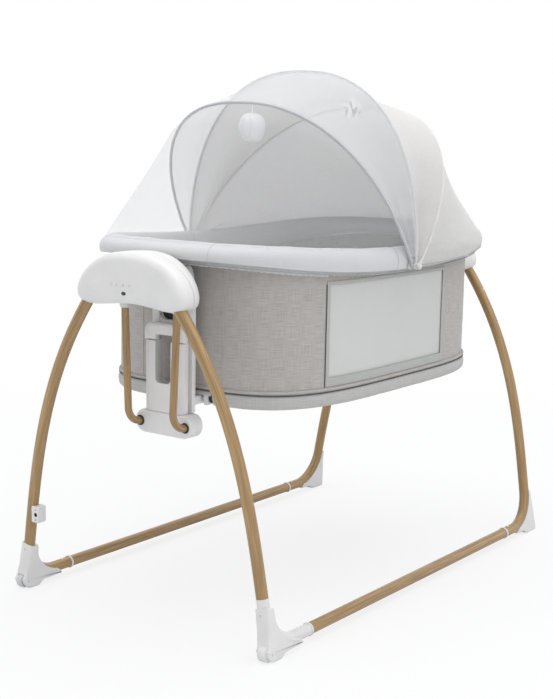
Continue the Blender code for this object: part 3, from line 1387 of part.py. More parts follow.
def build_toy_star():
    """A padded star on a strap from the middle bow."""
    anchor = toy_anchor(STAR_X, 1, MIDDLE_BOW_ANGLE)
    centre = anchor - Vector((0, 0, STAR_BODY_DROP + STAR_REACH * STAR_NOTCH_SHARE))
    outline = []
    for i in range(10):
        reach = STAR_REACH if i % 2 == 0 else STAR_REACH * STAR_NOTCH_SHARE
        angle = math.pi / 2 + i * math.pi / 5
        outline.append((centre.x + reach * math.cos(angle), centre.z + reach * math.sin(angle)))
    star = plate("toy_star", outline, "XZ", centre.y - STAR_HALF_DEPTH, centre.y + STAR_HALF_DEPTH, PLUSH,
                 bevel=STAR_HALF_DEPTH * STAR_ROUND_SHARE, bevel_steps=1)
    strap = cylinder("toy_star_strap", TOY_STRAP_RADIUS, anchor.z, centre.z, "Z", (anchor.x, anchor.y),
                     PLUSH, 8)
    combine(star, strap, "UNION")
    smooth(as_mesh(star))


# Mains inlet


def build_inlet():
    """The socket box clipped to the inside of the left front leg."""
    leg = leg_point(leg_share_at(INLET_Z), LEFT, FRONT)
    inner = leg.x + TUBE_RADIUS - FOOT_WALL
    low_y, high_y = leg.y - INLET_HALF_DEPTH, leg.y + INLET_HALF_DEPTH
    case = plate("inlet_box", rounded_rectangle(inner, inner + INLET_REACH, INLET_Z - INLET_HALF_HEIGHT,
                                                INLET_Z + INLET_HALF_HEIGHT, FOOT_WALL, 2),
                 "XZ", low_y, high_y, WHITE, bevel=COLLAR_WALL, bevel_steps=1)
    combine(case, leg_cutter("inlet_leg_cut", LEFT, FRONT))
    middle = (inner + INLET_REACH / 2 + FOOT_WALL, INLET_Z)
    hole = cylinder("inlet_hole", INLET_HOLE_RADIUS, low_y - CUT, low_y + INLET_HOLE_DEPTH, "Y", middle,
                    BLACK, 16)
    combine(case, hole)
    smooth(as_mesh(case))
    floor = low_y + INLET_HOLE_DEPTH - SEAT
    socket = cylinder("inlet_socket", INLET_HOLE_RADIUS - SEAT, low_y + SEAT, floor, "Y", middle, BLACK, 16)
    combine(socket, cylinder("socket_bore", INLET_HOLE_RADIUS - COLLAR_WALL, low_y - CUT,
                             floor - COLLAR_WALL, "Y", middle, BLACK, 16))
    combine(socket, cylinder("socket_pin", INLET_PIN_RADIUS, low_y + INLET_HOLE_RADIUS / 2,
                             floor - COLLAR_WALL / 2, "Y", middle, BLACK, 8), "UNION")
    smooth(as_mesh(socket))


# Joints


def axis_empty(name, at, parent=None):
    """An empty on a joint's axis, which carries the pieces that move on it."""
    empty = bpy.data.objects.new(name, None)
    collection("crib_cradle").objects.link(empty)
    empty.location = at
    bpy.context.view_layer.update()
    if parent:
        hang(empty, parent)
    return empty


def hang(child, parent):
    """Parent an object and leave it where it is."""
    child.parent = parent
    child.matrix_parent_inverse = parent.matrix_world.inverted()
    bpy.context.view_layer.update()


def carry(empty, *names):
    for name in names:
        hang(bpy.data.objects[name], empty)


def hang_moving_pieces():
    """Stand, swing, bassinet, hood and toys, each on the axis about which it moves."""
    for side, side_name in SIDE_NAMES.items():
        carry(axis_empty(f"roller_axis_{side_name}", roller_axis(side)), f"front_roller_{side_name}")
    swing = axis_empty("swing_axis", (0, 0, PIVOT_HEIGHT))
    bassinet = axis_empty("bassinet_seat", (0, 0, BAR_HEIGHT + BAR_HALF_HEIGHT), swing)
    for end, end_name in END_NAMES.items():
        carry(swing, *(f"{end_name}_{piece}"
                       for piece in ("arm_left", "arm_right", "yoke", "lower_bar", "tower")))
        slide = axis_empty(f"{end_name}_handle_slide", (0, end * handle_pin_y(), HANDLE_BOTTOM), swing)
        carry(slide, f"{end_name}_release_handle")
    carry(bassinet, "rim_tube", "base_tube", "front_socket_plate", "rear_socket_plate", "wall_fabric",
          "window_net_left", "window_net_right", "base_band", "rim_pad", "floor_board", "mattress",
          "hood_clip_left", "hood_clip_right", "hood_rear_panel")
    pins = (0, HOOD_PIVOT_Y, HOOD_PIVOT_Z)
    rear = axis_empty("rear_bow_hinge", pins, bassinet)
    middle = axis_empty("middle_bow_hinge", pins, rear)
    front = axis_empty("front_bow_hinge", pins, middle)
    carry(rear, "rear_bow", "hood_top_panel")
    carry(middle, "middle_bow", "net_top_panel")
    carry(front, "front_bow", "front_net")
    carry(axis_empty("toy_ball_loop", toy_anchor(BALL_X, 0, FRONT_BOW_ANGLE), front), "toy_ball")
    carry(axis_empty("toy_star_loop", toy_anchor(STAR_X, 1, MIDDLE_BOW_ANGLE), middle), "toy_star")


def main():
    for old in list(bpy.data.objects):
        bpy.data.objects.remove(old)
    build_stand()
    build_feet()
    build_housing(FRONT)
    build_housing(REAR)
    build_bearings()
    build_drive()
    build_swing()
    build_frame()
    build_walls()
    build_band()
    build_rim_pad()
    build_bed()
    build_hood()
    build_toy_ball()
    build_toy_star()
    build_inlet()
    hang_moving_pieces()


main()
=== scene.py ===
# %% [markdown]
# # A convertible crib cradle
# A rocking bassinet hangs in a stand of bent tubes. This notebook dresses its imported frame: tubes with a
# wood look, moulded plastic, woven cloth, net, a padded rim, a mattress and two hanging toys.
# The frame is loaded first, and its parts stay in the scene, hidden where they are replaced, because the
# dressed model has to fill the same space.

# %% Load the frame
import math

import bpy
import numpy as np
from mathutils import Matrix, Vector
from mathutils import noise as solid_noise
from mathutils.kdtree import KDTree


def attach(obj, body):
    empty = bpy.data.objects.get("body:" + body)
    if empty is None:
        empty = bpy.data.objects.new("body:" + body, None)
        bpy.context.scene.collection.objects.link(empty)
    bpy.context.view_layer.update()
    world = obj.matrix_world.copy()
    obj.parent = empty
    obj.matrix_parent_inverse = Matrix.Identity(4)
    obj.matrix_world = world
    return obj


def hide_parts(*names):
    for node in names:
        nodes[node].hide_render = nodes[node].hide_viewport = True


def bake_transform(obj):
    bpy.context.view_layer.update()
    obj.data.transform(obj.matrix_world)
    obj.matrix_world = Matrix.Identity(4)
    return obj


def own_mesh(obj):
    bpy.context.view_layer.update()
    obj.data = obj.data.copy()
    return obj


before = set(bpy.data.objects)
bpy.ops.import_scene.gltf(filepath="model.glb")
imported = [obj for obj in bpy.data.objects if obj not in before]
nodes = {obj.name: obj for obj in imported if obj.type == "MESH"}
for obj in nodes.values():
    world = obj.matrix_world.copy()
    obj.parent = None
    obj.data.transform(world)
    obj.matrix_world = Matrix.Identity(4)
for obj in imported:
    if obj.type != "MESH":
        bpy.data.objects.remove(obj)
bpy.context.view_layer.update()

# %% [markdown]
# ## Camera
# The view looks down a little on the motor end, with the long right side beyond it. The camera is built
# from its heading, its tilt and a slight roll, so that each can be read and changed by itself.

# %% Camera
heading, tilt, roll = math.radians(36.342), math.radians(9.398), math.radians(1.055)
camera_place = (1.6393, -2.3107, 0.9225)
focal_pixels, picture_pixels = 1358.44, 699
forward = Vector((-math.sin(heading) * math.cos(tilt), math.cos(heading) * math.cos(tilt), -math.sin(tilt)))
level = Vector((math.cos(heading), math.sin(heading), 0))
upright = level.cross(forward)
across = level * math.cos(roll) + upright * math.sin(roll)
over = -level * math.sin(roll) + upright * math.cos(roll)
bpy.ops.object.camera_add()
camera = bpy.context.object
camera.name = "studio_camera"
turned = Matrix((across, over, -forward)).transposed().to_4x4()
camera.matrix_world = Matrix.Translation(camera_place) @ turned
camera.data.sensor_width = 36
camera.data.lens = focal_pixels / picture_pixels * camera.data.sensor_width
bpy.context.scene.camera = camera
print("lens", round(camera.data.lens, 1), "mm")

# %% [markdown]
# ## Floor and light
# The cradle stands on a pale studio floor. To the camera the floor is part white card and part lit
# surface, so it stays near white and still takes the soft shadows, and it fades to plain white away
# from the cradle. The world gives an even glow, and three large lamps add a little direction.

# %% A helper for shader nodes
def new_node(tree, kind, operation=None, **sockets):
    """A shader node with its operation and the plain values of its sockets."""
    node = tree.nodes.new(kind)
    if operation:
        node.operation = operation
    for label, value in sockets.items():
        node.inputs[label.replace("_", " ")].default_value = value
    return node


def link_all(tree, pairs):
    """Link each pair of an output and an input."""
    for source, target in pairs:
        tree.links.new(source, target)


print("node helpers ready")

# %% Floor
bpy.ops.mesh.primitive_plane_add(size=14, location=(0, 0, -0.0004))
floor = bpy.context.object
floor.name = "studio_floor"
floor_paint = bpy.data.materials.new("studio_floor_paint")
floor_paint.use_nodes = True
tree = floor_paint.node_tree
tree.nodes.clear()
lit = new_node(tree, "ShaderNodeBsdfDiffuse", Color=(0.86, 0.86, 0.87, 1))
card = new_node(tree, "ShaderNodeEmission", Strength=1.0)
blend = new_node(tree, "ShaderNodeMixShader")
path = new_node(tree, "ShaderNodeLightPath")
share = new_node(tree, "ShaderNodeMath", "MULTIPLY")
place = new_node(tree, "ShaderNodeTexCoord")
away = new_node(tree, "ShaderNodeVectorMath", "LENGTH")
fade = new_node(tree, "ShaderNodeMapRange", From_Min=0.75, From_Max=2.2, To_Min=0.78, To_Max=1.0)
surface = new_node(tree, "ShaderNodeOutputMaterial")
link_all(tree, ((place.outputs["Object"], away.inputs[0]), (away.outputs["Value"], fade.inputs["Value"]),
                (fade.outputs["Result"], share.inputs[1]), (path.outputs["Is Camera Ray"], share.inputs[0]),
                (share.outputs[0], blend.inputs[0]), (lit.outputs[0], blend.inputs[1]),
                (card.outputs[0], blend.inputs[2]), (blend.outputs[0], surface.inputs["Surface"])))
floor.data.materials.append(floor_paint)
print("floor", floor.dimensions[:2])

# %% World and lamps
world = bpy.data.worlds.new("studio_world")
bpy.context.scene.world = world
world.use_nodes = True
tree = world.node_tree
tree.nodes.clear()
path = new_node(tree, "ShaderNodeLightPath")
seen = new_node(tree, "ShaderNodeMath", "MAXIMUM")
seen_too = new_node(tree, "ShaderNodeMath", "MAXIMUM")
glow = new_node(tree, "ShaderNodeBackground", Color=(0.96, 0.98, 1.0, 1), Strength=0.66)
white = new_node(tree, "ShaderNodeBackground", Color=(1, 1, 1, 1), Strength=1.0)
mix = new_node(tree, "ShaderNodeMixShader")
out = new_node(tree, "ShaderNodeOutputWorld")
link_all(tree, ((path.outputs["Is Camera Ray"], seen.inputs[0]),
                (path.outputs["Is Glossy Ray"], seen.inputs[1]), (seen.outputs[0], seen_too.inputs[0]),
                (path.outputs["Is Transmission Ray"], seen_too.inputs[1]),
                (seen_too.outputs[0], mix.inputs[0]), (glow.outputs[0], mix.inputs[1]),
                (white.outputs[0], mix.inputs[2]), (mix.outputs[0], out.inputs["Surface"])))
LAMPS = (("lamp_key", (-1.9, -2.4, 3.2), 2.8, 27), ("lamp_fill", (3.2, -1.0, 2.3), 2.8, 23),
         ("lamp_top", (0.2, 0.4, 3.6), 3.0, 60))
LIT_SPOT = Vector((0, 0, 0.55))
for name, place, size, power in LAMPS:
    bpy.ops.object.light_add(type="AREA", location=place)
    lamp = bpy.context.object
    lamp.name = name
    lamp.data.size = size
    lamp.data.energy = power
    lamp.rotation_euler = (LIT_SPOT - Vector(place)).to_track_quat("-Z", "Y").to_euler()
bpy.context.scene.view_settings.view_transform = "Standard"

# %% [markdown]
# ## Shared surface effects
# Several finishes need the same small effects, so each effect is one node group that gives out plain
# values. A weave needs threads that follow the cloth, so it reads the cloth's own UV map, which every
# cloth piece gets in metres. Moulded plastic and metal only need a fine grain, which can sit in space.

# %% A helper for node groups and links
def new_group(name, inputs, outputs):
    """An empty shader group. inputs are (name, value) pairs and outputs are names, all plain values."""
    group = bpy.data.node_groups.new(name, "ShaderNodeTree")
    for label, value in inputs:
        socket = group.interface.new_socket(label, in_out="INPUT", socket_type="NodeSocketFloat")
        socket.default_value = value
    for label in outputs:
        group.interface.new_socket(label, in_out="OUTPUT", socket_type="NodeSocketFloat")
    return group, group.nodes.new("NodeGroupInput"), group.nodes.new("NodeGroupOutput")


def math_node(tree, operation, first, second=None, third=None):
    """One Math node. Each value is a socket to link or a plain number."""
    node = tree.nodes.new("ShaderNodeMath")
    node.operation = operation
    for socket, value in zip(node.inputs, (first, second, third)):
        if value is None:
            continue
        if isinstance(value, (int, float)):
            socket.default_value = value
        else:
            tree.links.new(value, socket)
    return node.outputs[0]


print("helpers ready")

# %% Weave, grain, mottle and wood streaks
weave, given, result = new_group("thread_weave", (("Pitch", 0.0012), ("Unevenness", 0.5)),
                                 ("Height", "Streak"))
cloth_map = weave.nodes.new("ShaderNodeUVMap")
apart = weave.nodes.new("ShaderNodeSeparateXYZ")
weave.links.new(cloth_map.outputs[0], apart.inputs[0])
turns = math_node(weave, "DIVIDE", math.pi, given.outputs["Pitch"])
warp = math_node(weave, "SINE", math_node(weave, "MULTIPLY", apart.outputs["X"], turns))
weft = math_node(weave, "SINE", math_node(weave, "MULTIPLY", apart.outputs["Y"], turns))
crossing = math_node(weave, "MULTIPLY", warp, weft)
weave.links.new(math_node(weave, "MULTIPLY_ADD", crossing, 0.5, 0.5), result.inputs["Height"])
streaks = []
for long_x, long_y, seed in ((35, 900, 0.0), (700, 30, 7.0)):
    stretch = new_node(weave, "ShaderNodeMapping", Location=(seed, seed, 0), Scale=(long_x, long_y, 1))
    noise = new_node(weave, "ShaderNodeTexNoise", Scale=1.0, Detail=3.0)
    weave.links.new(cloth_map.outputs[0], stretch.inputs["Vector"])
    weave.links.new(stretch.outputs[0], noise.inputs["Vector"])
    streaks.append(noise.outputs["Fac"])
both = math_node(weave, "ADD", math_node(weave, "MULTIPLY", streaks[0], 0.65),
                 math_node(weave, "MULTIPLY", streaks[1], 0.35))
uneven = math_node(weave, "MULTIPLY", math_node(weave, "SUBTRACT", both, 0.5), given.outputs["Unevenness"])
weave.links.new(math_node(weave, "MULTIPLY_ADD", uneven, 3.0, 0.5), result.inputs["Streak"])

grain, given, result = new_group("fine_grain", (("Size", 0.0008), ("Cloud", 0.05)), ("Height", "Cloud"))
place = grain.nodes.new("ShaderNodeTexCoord")
for label, target in (("Size", "Height"), ("Cloud", "Cloud")):
    noise = new_node(grain, "ShaderNodeTexNoise", Detail=4.0)
    grain.links.new(place.outputs["Object"], noise.inputs["Vector"])
    grain.links.new(math_node(grain, "DIVIDE", 1.0, given.outputs[label]), noise.inputs["Scale"])
    grain.links.new(noise.outputs["Fac"], result.inputs[target])

streak, given, result = new_group("wood_streak", (("Width", 0.0022), ("Length", 0.09)), ("Fine", "Broad"))
tube_map = streak.nodes.new("ShaderNodeUVMap")
for factor, target, detail in ((1.0, "Fine", 6.0), (4.5, "Broad", 2.0)):
    stretch = streak.nodes.new("ShaderNodeCombineXYZ")
    pieces = streak.nodes.new("ShaderNodeSeparateXYZ")
    streak.links.new(tube_map.outputs[0], pieces.inputs[0])
    along = math_node(streak, "DIVIDE", pieces.outputs["X"],
                      math_node(streak, "MULTIPLY", given.outputs["Length"], factor))
    around = math_node(streak, "DIVIDE", pieces.outputs["Y"],
                       math_node(streak, "MULTIPLY", given.outputs["Width"], factor))
    streak.links.new(along, stretch.inputs["X"])
    streak.links.new(around, stretch.inputs["Y"])
    noise = new_node(streak, "ShaderNodeTexNoise", Scale=1.0, Detail=detail, Distortion=0.6)
    streak.links.new(stretch.outputs[0], noise.inputs["Vector"])
    streak.links.new(noise.outputs["Fac"], result.inputs[target])
print("groups", [group.name for group in bpy.data.node_groups])

# %% [markdown]
# ## Finishes
# Each finish is one Principled material. The builders below take the plain constants straight to the
# shader's sockets and let a group steer only colour, roughness and bump. Plastic gets a faint cloud in
# its roughness, cloth gets its weave and heathered thread, and the net is a grid of see-through holes.

# %% Helpers for a finish
def new_finish(name, roughness, metallic=0.0, **sockets):
    """A Principled material with plain constants. Returns its tree and its shader."""
    made = bpy.data.materials.new(name)
    made.use_nodes = True
    shader = made.node_tree.nodes["Principled BSDF"]
    shader.inputs["Roughness"].default_value = roughness
    shader.inputs["Metallic"].default_value = metallic
    for label, value in sockets.items():
        shader.inputs[label.replace("_", " ")].default_value = value
    return made, made.node_tree, shader


def put_group(tree, group, **values):
    node = tree.nodes.new("ShaderNodeGroup")
    node.node_tree = group
    for label, value in values.items():
        node.inputs[label].default_value = value
    return node


def colour_between(tree, value, stops):
    """A colour ramp from (place, colour) stops."""
    ramp = tree.nodes.new("ShaderNodeValToRGB")
    ramp.color_ramp.elements[0].position, ramp.color_ramp.elements[0].color = stops[0][0], (*stops[0][1], 1)
    ramp.color_ramp.elements[1].position, ramp.color_ramp.elements[1].color = stops[-1][0], (*stops[-1][1], 1)
    for at, colour in stops[1:-1]:
        ramp.color_ramp.elements.new(at).color = (*colour, 1)
    tree.links.new(value, ramp.inputs["Fac"])
    return ramp.outputs["Color"]


def bump(tree, shader, height, strength, distance):
    node = new_node(tree, "ShaderNodeBump", Strength=strength, Distance=distance)
    tree.links.new(height, node.inputs["Height"])
    tree.links.new(node.outputs["Normal"], shader.inputs["Normal"])


def spread(tree, value, low, high):
    """A value from 0 to 1 spread between two numbers."""
    node = new_node(tree, "ShaderNodeMapRange", To_Min=low, To_Max=high)
    tree.links.new(value, node.inputs["Value"])
    return node.outputs["Result"]


PLASTIC_DARKENING, PLASTIC_GRAIN = 0.06, 0.00004


def plastic(name, colour, roughness, **sockets):
    """Moulded plastic: a faint cloud in colour and roughness over a fine orange-peel grain."""
    made, tree, shader = new_finish(name, roughness, **sockets)
    skin = put_group(tree, grain, Size=0.0016, Cloud=0.06)
    darker = tuple(value * (1 - PLASTIC_DARKENING) for value in colour)
    tree.links.new(colour_between(tree, skin.outputs["Cloud"], ((0.35, darker), (0.65, colour))),
                   shader.inputs["Base Color"])
    tree.links.new(spread(tree, skin.outputs["Cloud"], roughness - 0.05, roughness + 0.07),
                   shader.inputs["Roughness"])
    bump(tree, shader, skin.outputs["Height"], 0.25, PLASTIC_GRAIN)
    return made


def cloth(name, dark, light, pitch, uneven, depth, roughness=0.92, **sockets):
    """Woven cloth: heathered threads in colour, and the crossing threads as bump."""
    made, tree, shader = new_finish(name, roughness, **sockets)
    threads = put_group(tree, weave, Pitch=pitch, Unevenness=uneven)
    tree.links.new(colour_between(tree, threads.outputs["Streak"], ((0.15, dark), (0.85, light))),
                   shader.inputs["Base Color"])
    tree.links.new(spread(tree, threads.outputs["Streak"], roughness - 0.04, roughness + 0.04),
                   shader.inputs["Roughness"])
    bump(tree, shader, threads.outputs["Height"], 0.5, depth)
    return made


print("finish helpers ready")

# %% Plastics, metal and wood-look tube
white_plastic = plastic("white_plastic_finish", (0.79, 0.78, 0.77), 0.36)
grey_face = plastic("grey_casing_finish", (0.52, 0.52, 0.52), 0.42)
roller_grey = plastic("roller_finish", (0.66, 0.66, 0.67), 0.55)
black_gloss = plastic("black_lens_finish", (0.012, 0.012, 0.014), 0.12, Coat_Weight=0.6)
black_matt = plastic("black_rubber_finish", (0.02, 0.02, 0.021), 0.55)
mark_ink = plastic("touch_mark_finish", (0.50, 0.50, 0.50), 0.45)
board_green = plastic("circuit_finish", (0.03, 0.16, 0.07), 0.5)

steel, tree, shader = new_finish("plated_steel_finish", 0.3, 1.0)
skin = put_group(tree, grain, Size=0.0007, Cloud=0.03)
tree.links.new(colour_between(tree, skin.outputs["Cloud"],
                              ((0.3, (0.50, 0.50, 0.51)), (0.7, (0.63, 0.63, 0.64)))),
               shader.inputs["Base Color"])
tree.links.new(spread(tree, skin.outputs["Cloud"], 0.24, 0.40), shader.inputs["Roughness"])
bump(tree, shader, skin.outputs["Height"], 0.15, 0.00003)

wood_tube, tree, shader = new_finish("wood_look_finish", 0.38, Coat_Weight=0.45, Coat_Roughness=0.25)
lines = put_group(tree, streak, Width=0.0022, Length=0.09)
shade = math_node(tree, "ADD", math_node(tree, "MULTIPLY", lines.outputs["Fine"], 0.55),
                  math_node(tree, "MULTIPLY", lines.outputs["Broad"], 0.45))
tree.links.new(colour_between(tree, shade, ((0.36, (0.245, 0.138, 0.050)), (0.50, (0.365, 0.225, 0.088)),
                                            (0.64, (0.490, 0.325, 0.145)))), shader.inputs["Base Color"])
tree.links.new(spread(tree, lines.outputs["Fine"], 0.36, 0.50), shader.inputs["Roughness"])
bump(tree, shader, lines.outputs["Fine"], 0.12, 0.00005)
print("hard finishes ready")

# %% Cloths and net
linen = cloth("grey_linen_finish", (0.360, 0.340, 0.318), (0.550, 0.520, 0.494), 0.0011, 0.75, 0.00022,
              Sheen_Weight=0.15)
pale_cloth = cloth("pale_rim_finish", (0.58, 0.575, 0.59), (0.71, 0.708, 0.722), 0.0009, 0.35, 0.00014,
                   Sheen_Weight=0.25)
hood_cloth = cloth("grey_hood_finish", (0.575, 0.558, 0.538), (0.74, 0.725, 0.70), 0.0008, 0.35, 0.00012,
                   Sheen_Weight=0.2, Subsurface_Weight=0.55, Subsurface_Scale=0.01,
                   Subsurface_Radius=(1, 1, 1))
binding = cloth("grey_binding_finish", (0.48, 0.48, 0.50), (0.62, 0.62, 0.64), 0.0010, 0.5, 0.00016)
trim_cloth = cloth("window_trim_finish", (0.40, 0.402, 0.385), (0.52, 0.522, 0.505), 0.0010, 0.4, 0.00014)
sleeve_cloth = cloth("tube_sleeve_finish", (0.42, 0.418, 0.405), (0.56, 0.556, 0.54), 0.0011, 0.6, 0.00018,
                     Sheen_Weight=0.1)
dark_piping = cloth("dark_piping_finish", (0.055, 0.055, 0.06), (0.11, 0.11, 0.115), 0.0010, 0.5, 0.00016)
board_cloth = cloth("board_cover_finish", (0.30, 0.29, 0.28), (0.40, 0.39, 0.38), 0.0012, 0.5, 0.00012)
quilt_cloth = cloth("white_quilt_finish", (0.74, 0.74, 0.745), (0.85, 0.85, 0.855), 0.0008, 0.3, 0.00012,
                    Sheen_Weight=0.2)
plush = cloth("white_plush_finish", (0.84, 0.84, 0.85), (0.94, 0.94, 0.95), 0.0016, 0.9, 0.0006,
              Sheen_Weight=0.6)


def net_cloth(name, colour, hole, solid):
    """Knitted net: round holes in rows, with solid the alpha of the threads between them."""
    made, tree, shader = new_finish(name, 0.8)
    shader.inputs["Base Color"].default_value = (*colour, 1)
    cloth_map = tree.nodes.new("ShaderNodeUVMap")
    cells = new_node(tree, "ShaderNodeTexVoronoi", Scale=1 / hole, Randomness=0.15)
    tree.links.new(cloth_map.outputs[0], cells.inputs["Vector"])
    tree.links.new(spread(tree, cells.outputs["Distance"], *solid), shader.inputs["Alpha"])
    return made


hood_net = net_cloth("hood_net_finish", (0.90, 0.90, 0.92), 0.0022, (0.16, 0.54))
sheer_net = net_cloth("sheer_net_finish", (0.90, 0.90, 0.92), 0.0024, (0.03, 0.30))
window_mesh = net_cloth("window_mesh_finish", (0.74, 0.735, 0.725), 0.0020, (0.62, 1.0))
print("soft finishes ready")

# %% [markdown]
# ## Helpers for making pieces
# Every new piece ends the same way: it gets its finish, its place goes into its mesh, and, if it is given
# one, it rides on a body of the frame. A tube is swept along its own centre line, and it gets a UV map in
# metres, with U along the tube and V around it, so that grain and weave can follow the bend.

# %% Selection and finishing helpers
def start_clean():
    """Leave edit mode and deselect everything, because an operator acts on all that is selected."""
    if bpy.context.object and bpy.context.object.mode != "OBJECT":
        bpy.ops.object.mode_set(mode="OBJECT")
    bpy.ops.object.select_all(action="DESELECT")


def pick(piece):
    start_clean()
    piece.select_set(True)
    bpy.context.view_layer.objects.active = piece


def settle(piece):
    """Put a piece's place, turn and scale into its mesh."""
    pick(piece)
    bpy.ops.object.transform_apply(location=True, rotation=True, scale=True)


def apply_all(piece):
    pick(piece)
    for step in list(piece.modifiers):
        bpy.ops.object.modifier_apply(modifier=step.name)


def finish_piece(piece, name, finish, body, replaced=(), angle=35):
    """Name, dress and shade a piece, and let it ride on its body."""
    apply_all(piece)
    settle(piece)
    piece.name = name
    piece.data.name = name
    piece.data.materials.clear()
    piece.data.materials.append(finish)
    bpy.ops.object.shade_smooth_by_angle(angle=math.radians(angle))
    if body:
        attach(piece, body)
    if replaced:
        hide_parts(*replaced)
    return piece


def face_outwards(piece, merge=0.00001):
    """Merge the doubles of a piece and turn its faces outwards."""
    pick(piece)
    bpy.ops.object.mode_set(mode="EDIT")
    bpy.ops.mesh.select_all(action="SELECT")
    bpy.ops.mesh.remove_doubles(threshold=merge)
    bpy.ops.mesh.normals_make_consistent(inside=False)
    bpy.ops.object.mode_set(mode="OBJECT")


def join_pieces(pieces):
    """Join some pieces into the first of them."""
    start_clean()
    for piece in pieces:
        piece.select_set(True)
    bpy.context.view_layer.objects.active = pieces[0]
    bpy.ops.object.join()
    return pieces[0]


print("piece helpers ready")

# %% A round tube along a path
def tube_along(points, radius, sides=20, closed=False, up=None):
    """A tube through the points with a UV map in metres. up holds its section upright."""
    count = len(points)
    vertices, lengths = [], [0.0]
    frame_side = None
    for i, point in enumerate(points):
        ahead = points[(i + 1) % count] if closed or i + 1 < count else point
        behind = points[i - 1] if closed or i else point
        along = (ahead - behind).normalized()
        if up is not None:
            frame_side = (Vector(up) - along * along.dot(Vector(up))).normalized()
        elif frame_side is None:
            frame_side = along.orthogonal().normalized()
        else:
            frame_side = (frame_side - along * along.dot(frame_side)).normalized()
        other = along.cross(frame_side)
        for j in range(sides):
            turn = 2 * math.pi * j / sides
            vertices.append(point + frame_side * (math.cos(turn) * radius)
                            + other * (math.sin(turn) * radius))
        if i:
            lengths.append(lengths[-1] + (point - points[i - 1]).length)
    faces, maps = [], []
    steps = count if closed else count - 1
    total = lengths[-1] + ((points[0] - points[-1]).length if closed else 0)
    around = 2 * math.pi * radius
    for i in range(steps):
        k = (i + 1) % count
        u0, u1 = lengths[i], lengths[k] if k else total
        for j in range(sides):
            n = (j + 1) % sides
            faces.append((i * sides + j, i * sides + n, k * sides + n, k * sides + j))
            v0, v1 = around * j / sides, around * (j + 1) / sides
            maps.append(((u0, v0), (u0, v1), (u1, v1), (u1, v0)))
    if not closed:
        faces.append(tuple(reversed(range(sides))))
        maps.append(tuple((radius * math.cos(j), radius * math.sin(j)) for j in range(sides)))
        faces.append(tuple(range((count - 1) * sides, count * sides)))
        maps.append(tuple((total, around * j / sides) for j in range(sides)))
    return mesh_piece(vertices, faces, maps)


def mesh_piece(vertices, faces, maps):
    """An object from points, faces and the UV places of each face's corners."""
    mesh = bpy.data.meshes.new("piece")
    mesh.from_pydata([tuple(point) for point in vertices], [], faces)
    layer = mesh.uv_layers.new(name="UVMap")
    flat_maps = [place for face in maps for place in face]
    layer.data.foreach_set("uv", [value for place in flat_maps for value in place])
    mesh.update()
    made = bpy.data.objects.new("piece", mesh)
    bpy.context.scene.collection.objects.link(made)
    face_outwards(made)
    return made


print("tube helper ready")

# %% [markdown]
# ## Moulded pieces
# The housings, brackets and feet are injection mouldings: an outline pulled straight, with rounded edges
# and a parting line. They could be boxes with a bevel, but a rounded outline would pinch in the corners.
# So a circle primitive is laid on the outline and extruded ring by ring, each ring drawn in by its inset.

# %% Outlines
def rounded_line(x0, x1, z0, z1, radius, steps=8):
    """A rectangle with round corners, as a closed line of points."""
    points = []
    for cx, cz, start in ((x1 - radius, z1 - radius, 0), (x0 + radius, z1 - radius, 90),
                          (x0 + radius, z0 + radius, 180), (x1 - radius, z0 + radius, 270)):
        for i in range(steps + 1):
            turn = math.radians(start + 90 * i / steps)
            points.append((cx + radius * math.cos(turn), cz + radius * math.sin(turn)))
    return points


def oval_line(cx, cz, half_wide, half_high, count):
    """An oval as a closed line of points."""
    turns = [i * math.pi / (count / 2) for i in range(count)]
    return [(cx + half_wide * math.cos(turn), cz + half_high * math.sin(turn)) for turn in turns]


def quarter(steps, first=0):
    """Cosine and sine at even steps of a quarter turn."""
    turns = [math.pi / 2 * i / steps for i in range(first, steps + 1)]
    return [(math.cos(turn), math.sin(turn)) for turn in turns]


def inset_line(points, inset):
    """The same line drawn in by an inset, each point along the mean of its two edge normals."""
    if not inset:
        return list(points)
    count = len(points)
    area = sum(points[i - 1][0] * points[i][1] - points[i][0] * points[i - 1][1] for i in range(count))
    turn = 1 if area > 0 else -1
    drawn = []
    for i, (x, z) in enumerate(points):
        normals = []
        for (ax, az), (bx, bz) in ((points[i - 1], (x, z)), ((x, z), points[(i + 1) % count])):
            length = math.hypot(bx - ax, bz - az) or 1
            normals.append((-(bz - az) / length * turn, (bx - ax) / length * turn))
        nx, nz = normals[0][0] + normals[1][0], normals[0][1] + normals[1][1]
        size = max(nx * nx + nz * nz, 0.6)
        drawn.append((x + nx * 2 * inset / size, z + nz * 2 * inset / size))
    return drawn


def rounded_stations(low, high, radius, steps=5, flat=0.0012):
    """Stations (along, inset) for a straight pull with both edges rounded."""
    low_edge = [(low + radius * (1 - c), radius * (1 - s)) for c, s in quarter(steps)]
    high_edge = [(low + high - along, inset) for along, inset in reversed(low_edge)]
    return [(low, radius + flat)] + low_edge + high_edge + [(high, radius + flat)]


print("corner points", len(rounded_line(-1, 1, -1, 1, 0.2)))

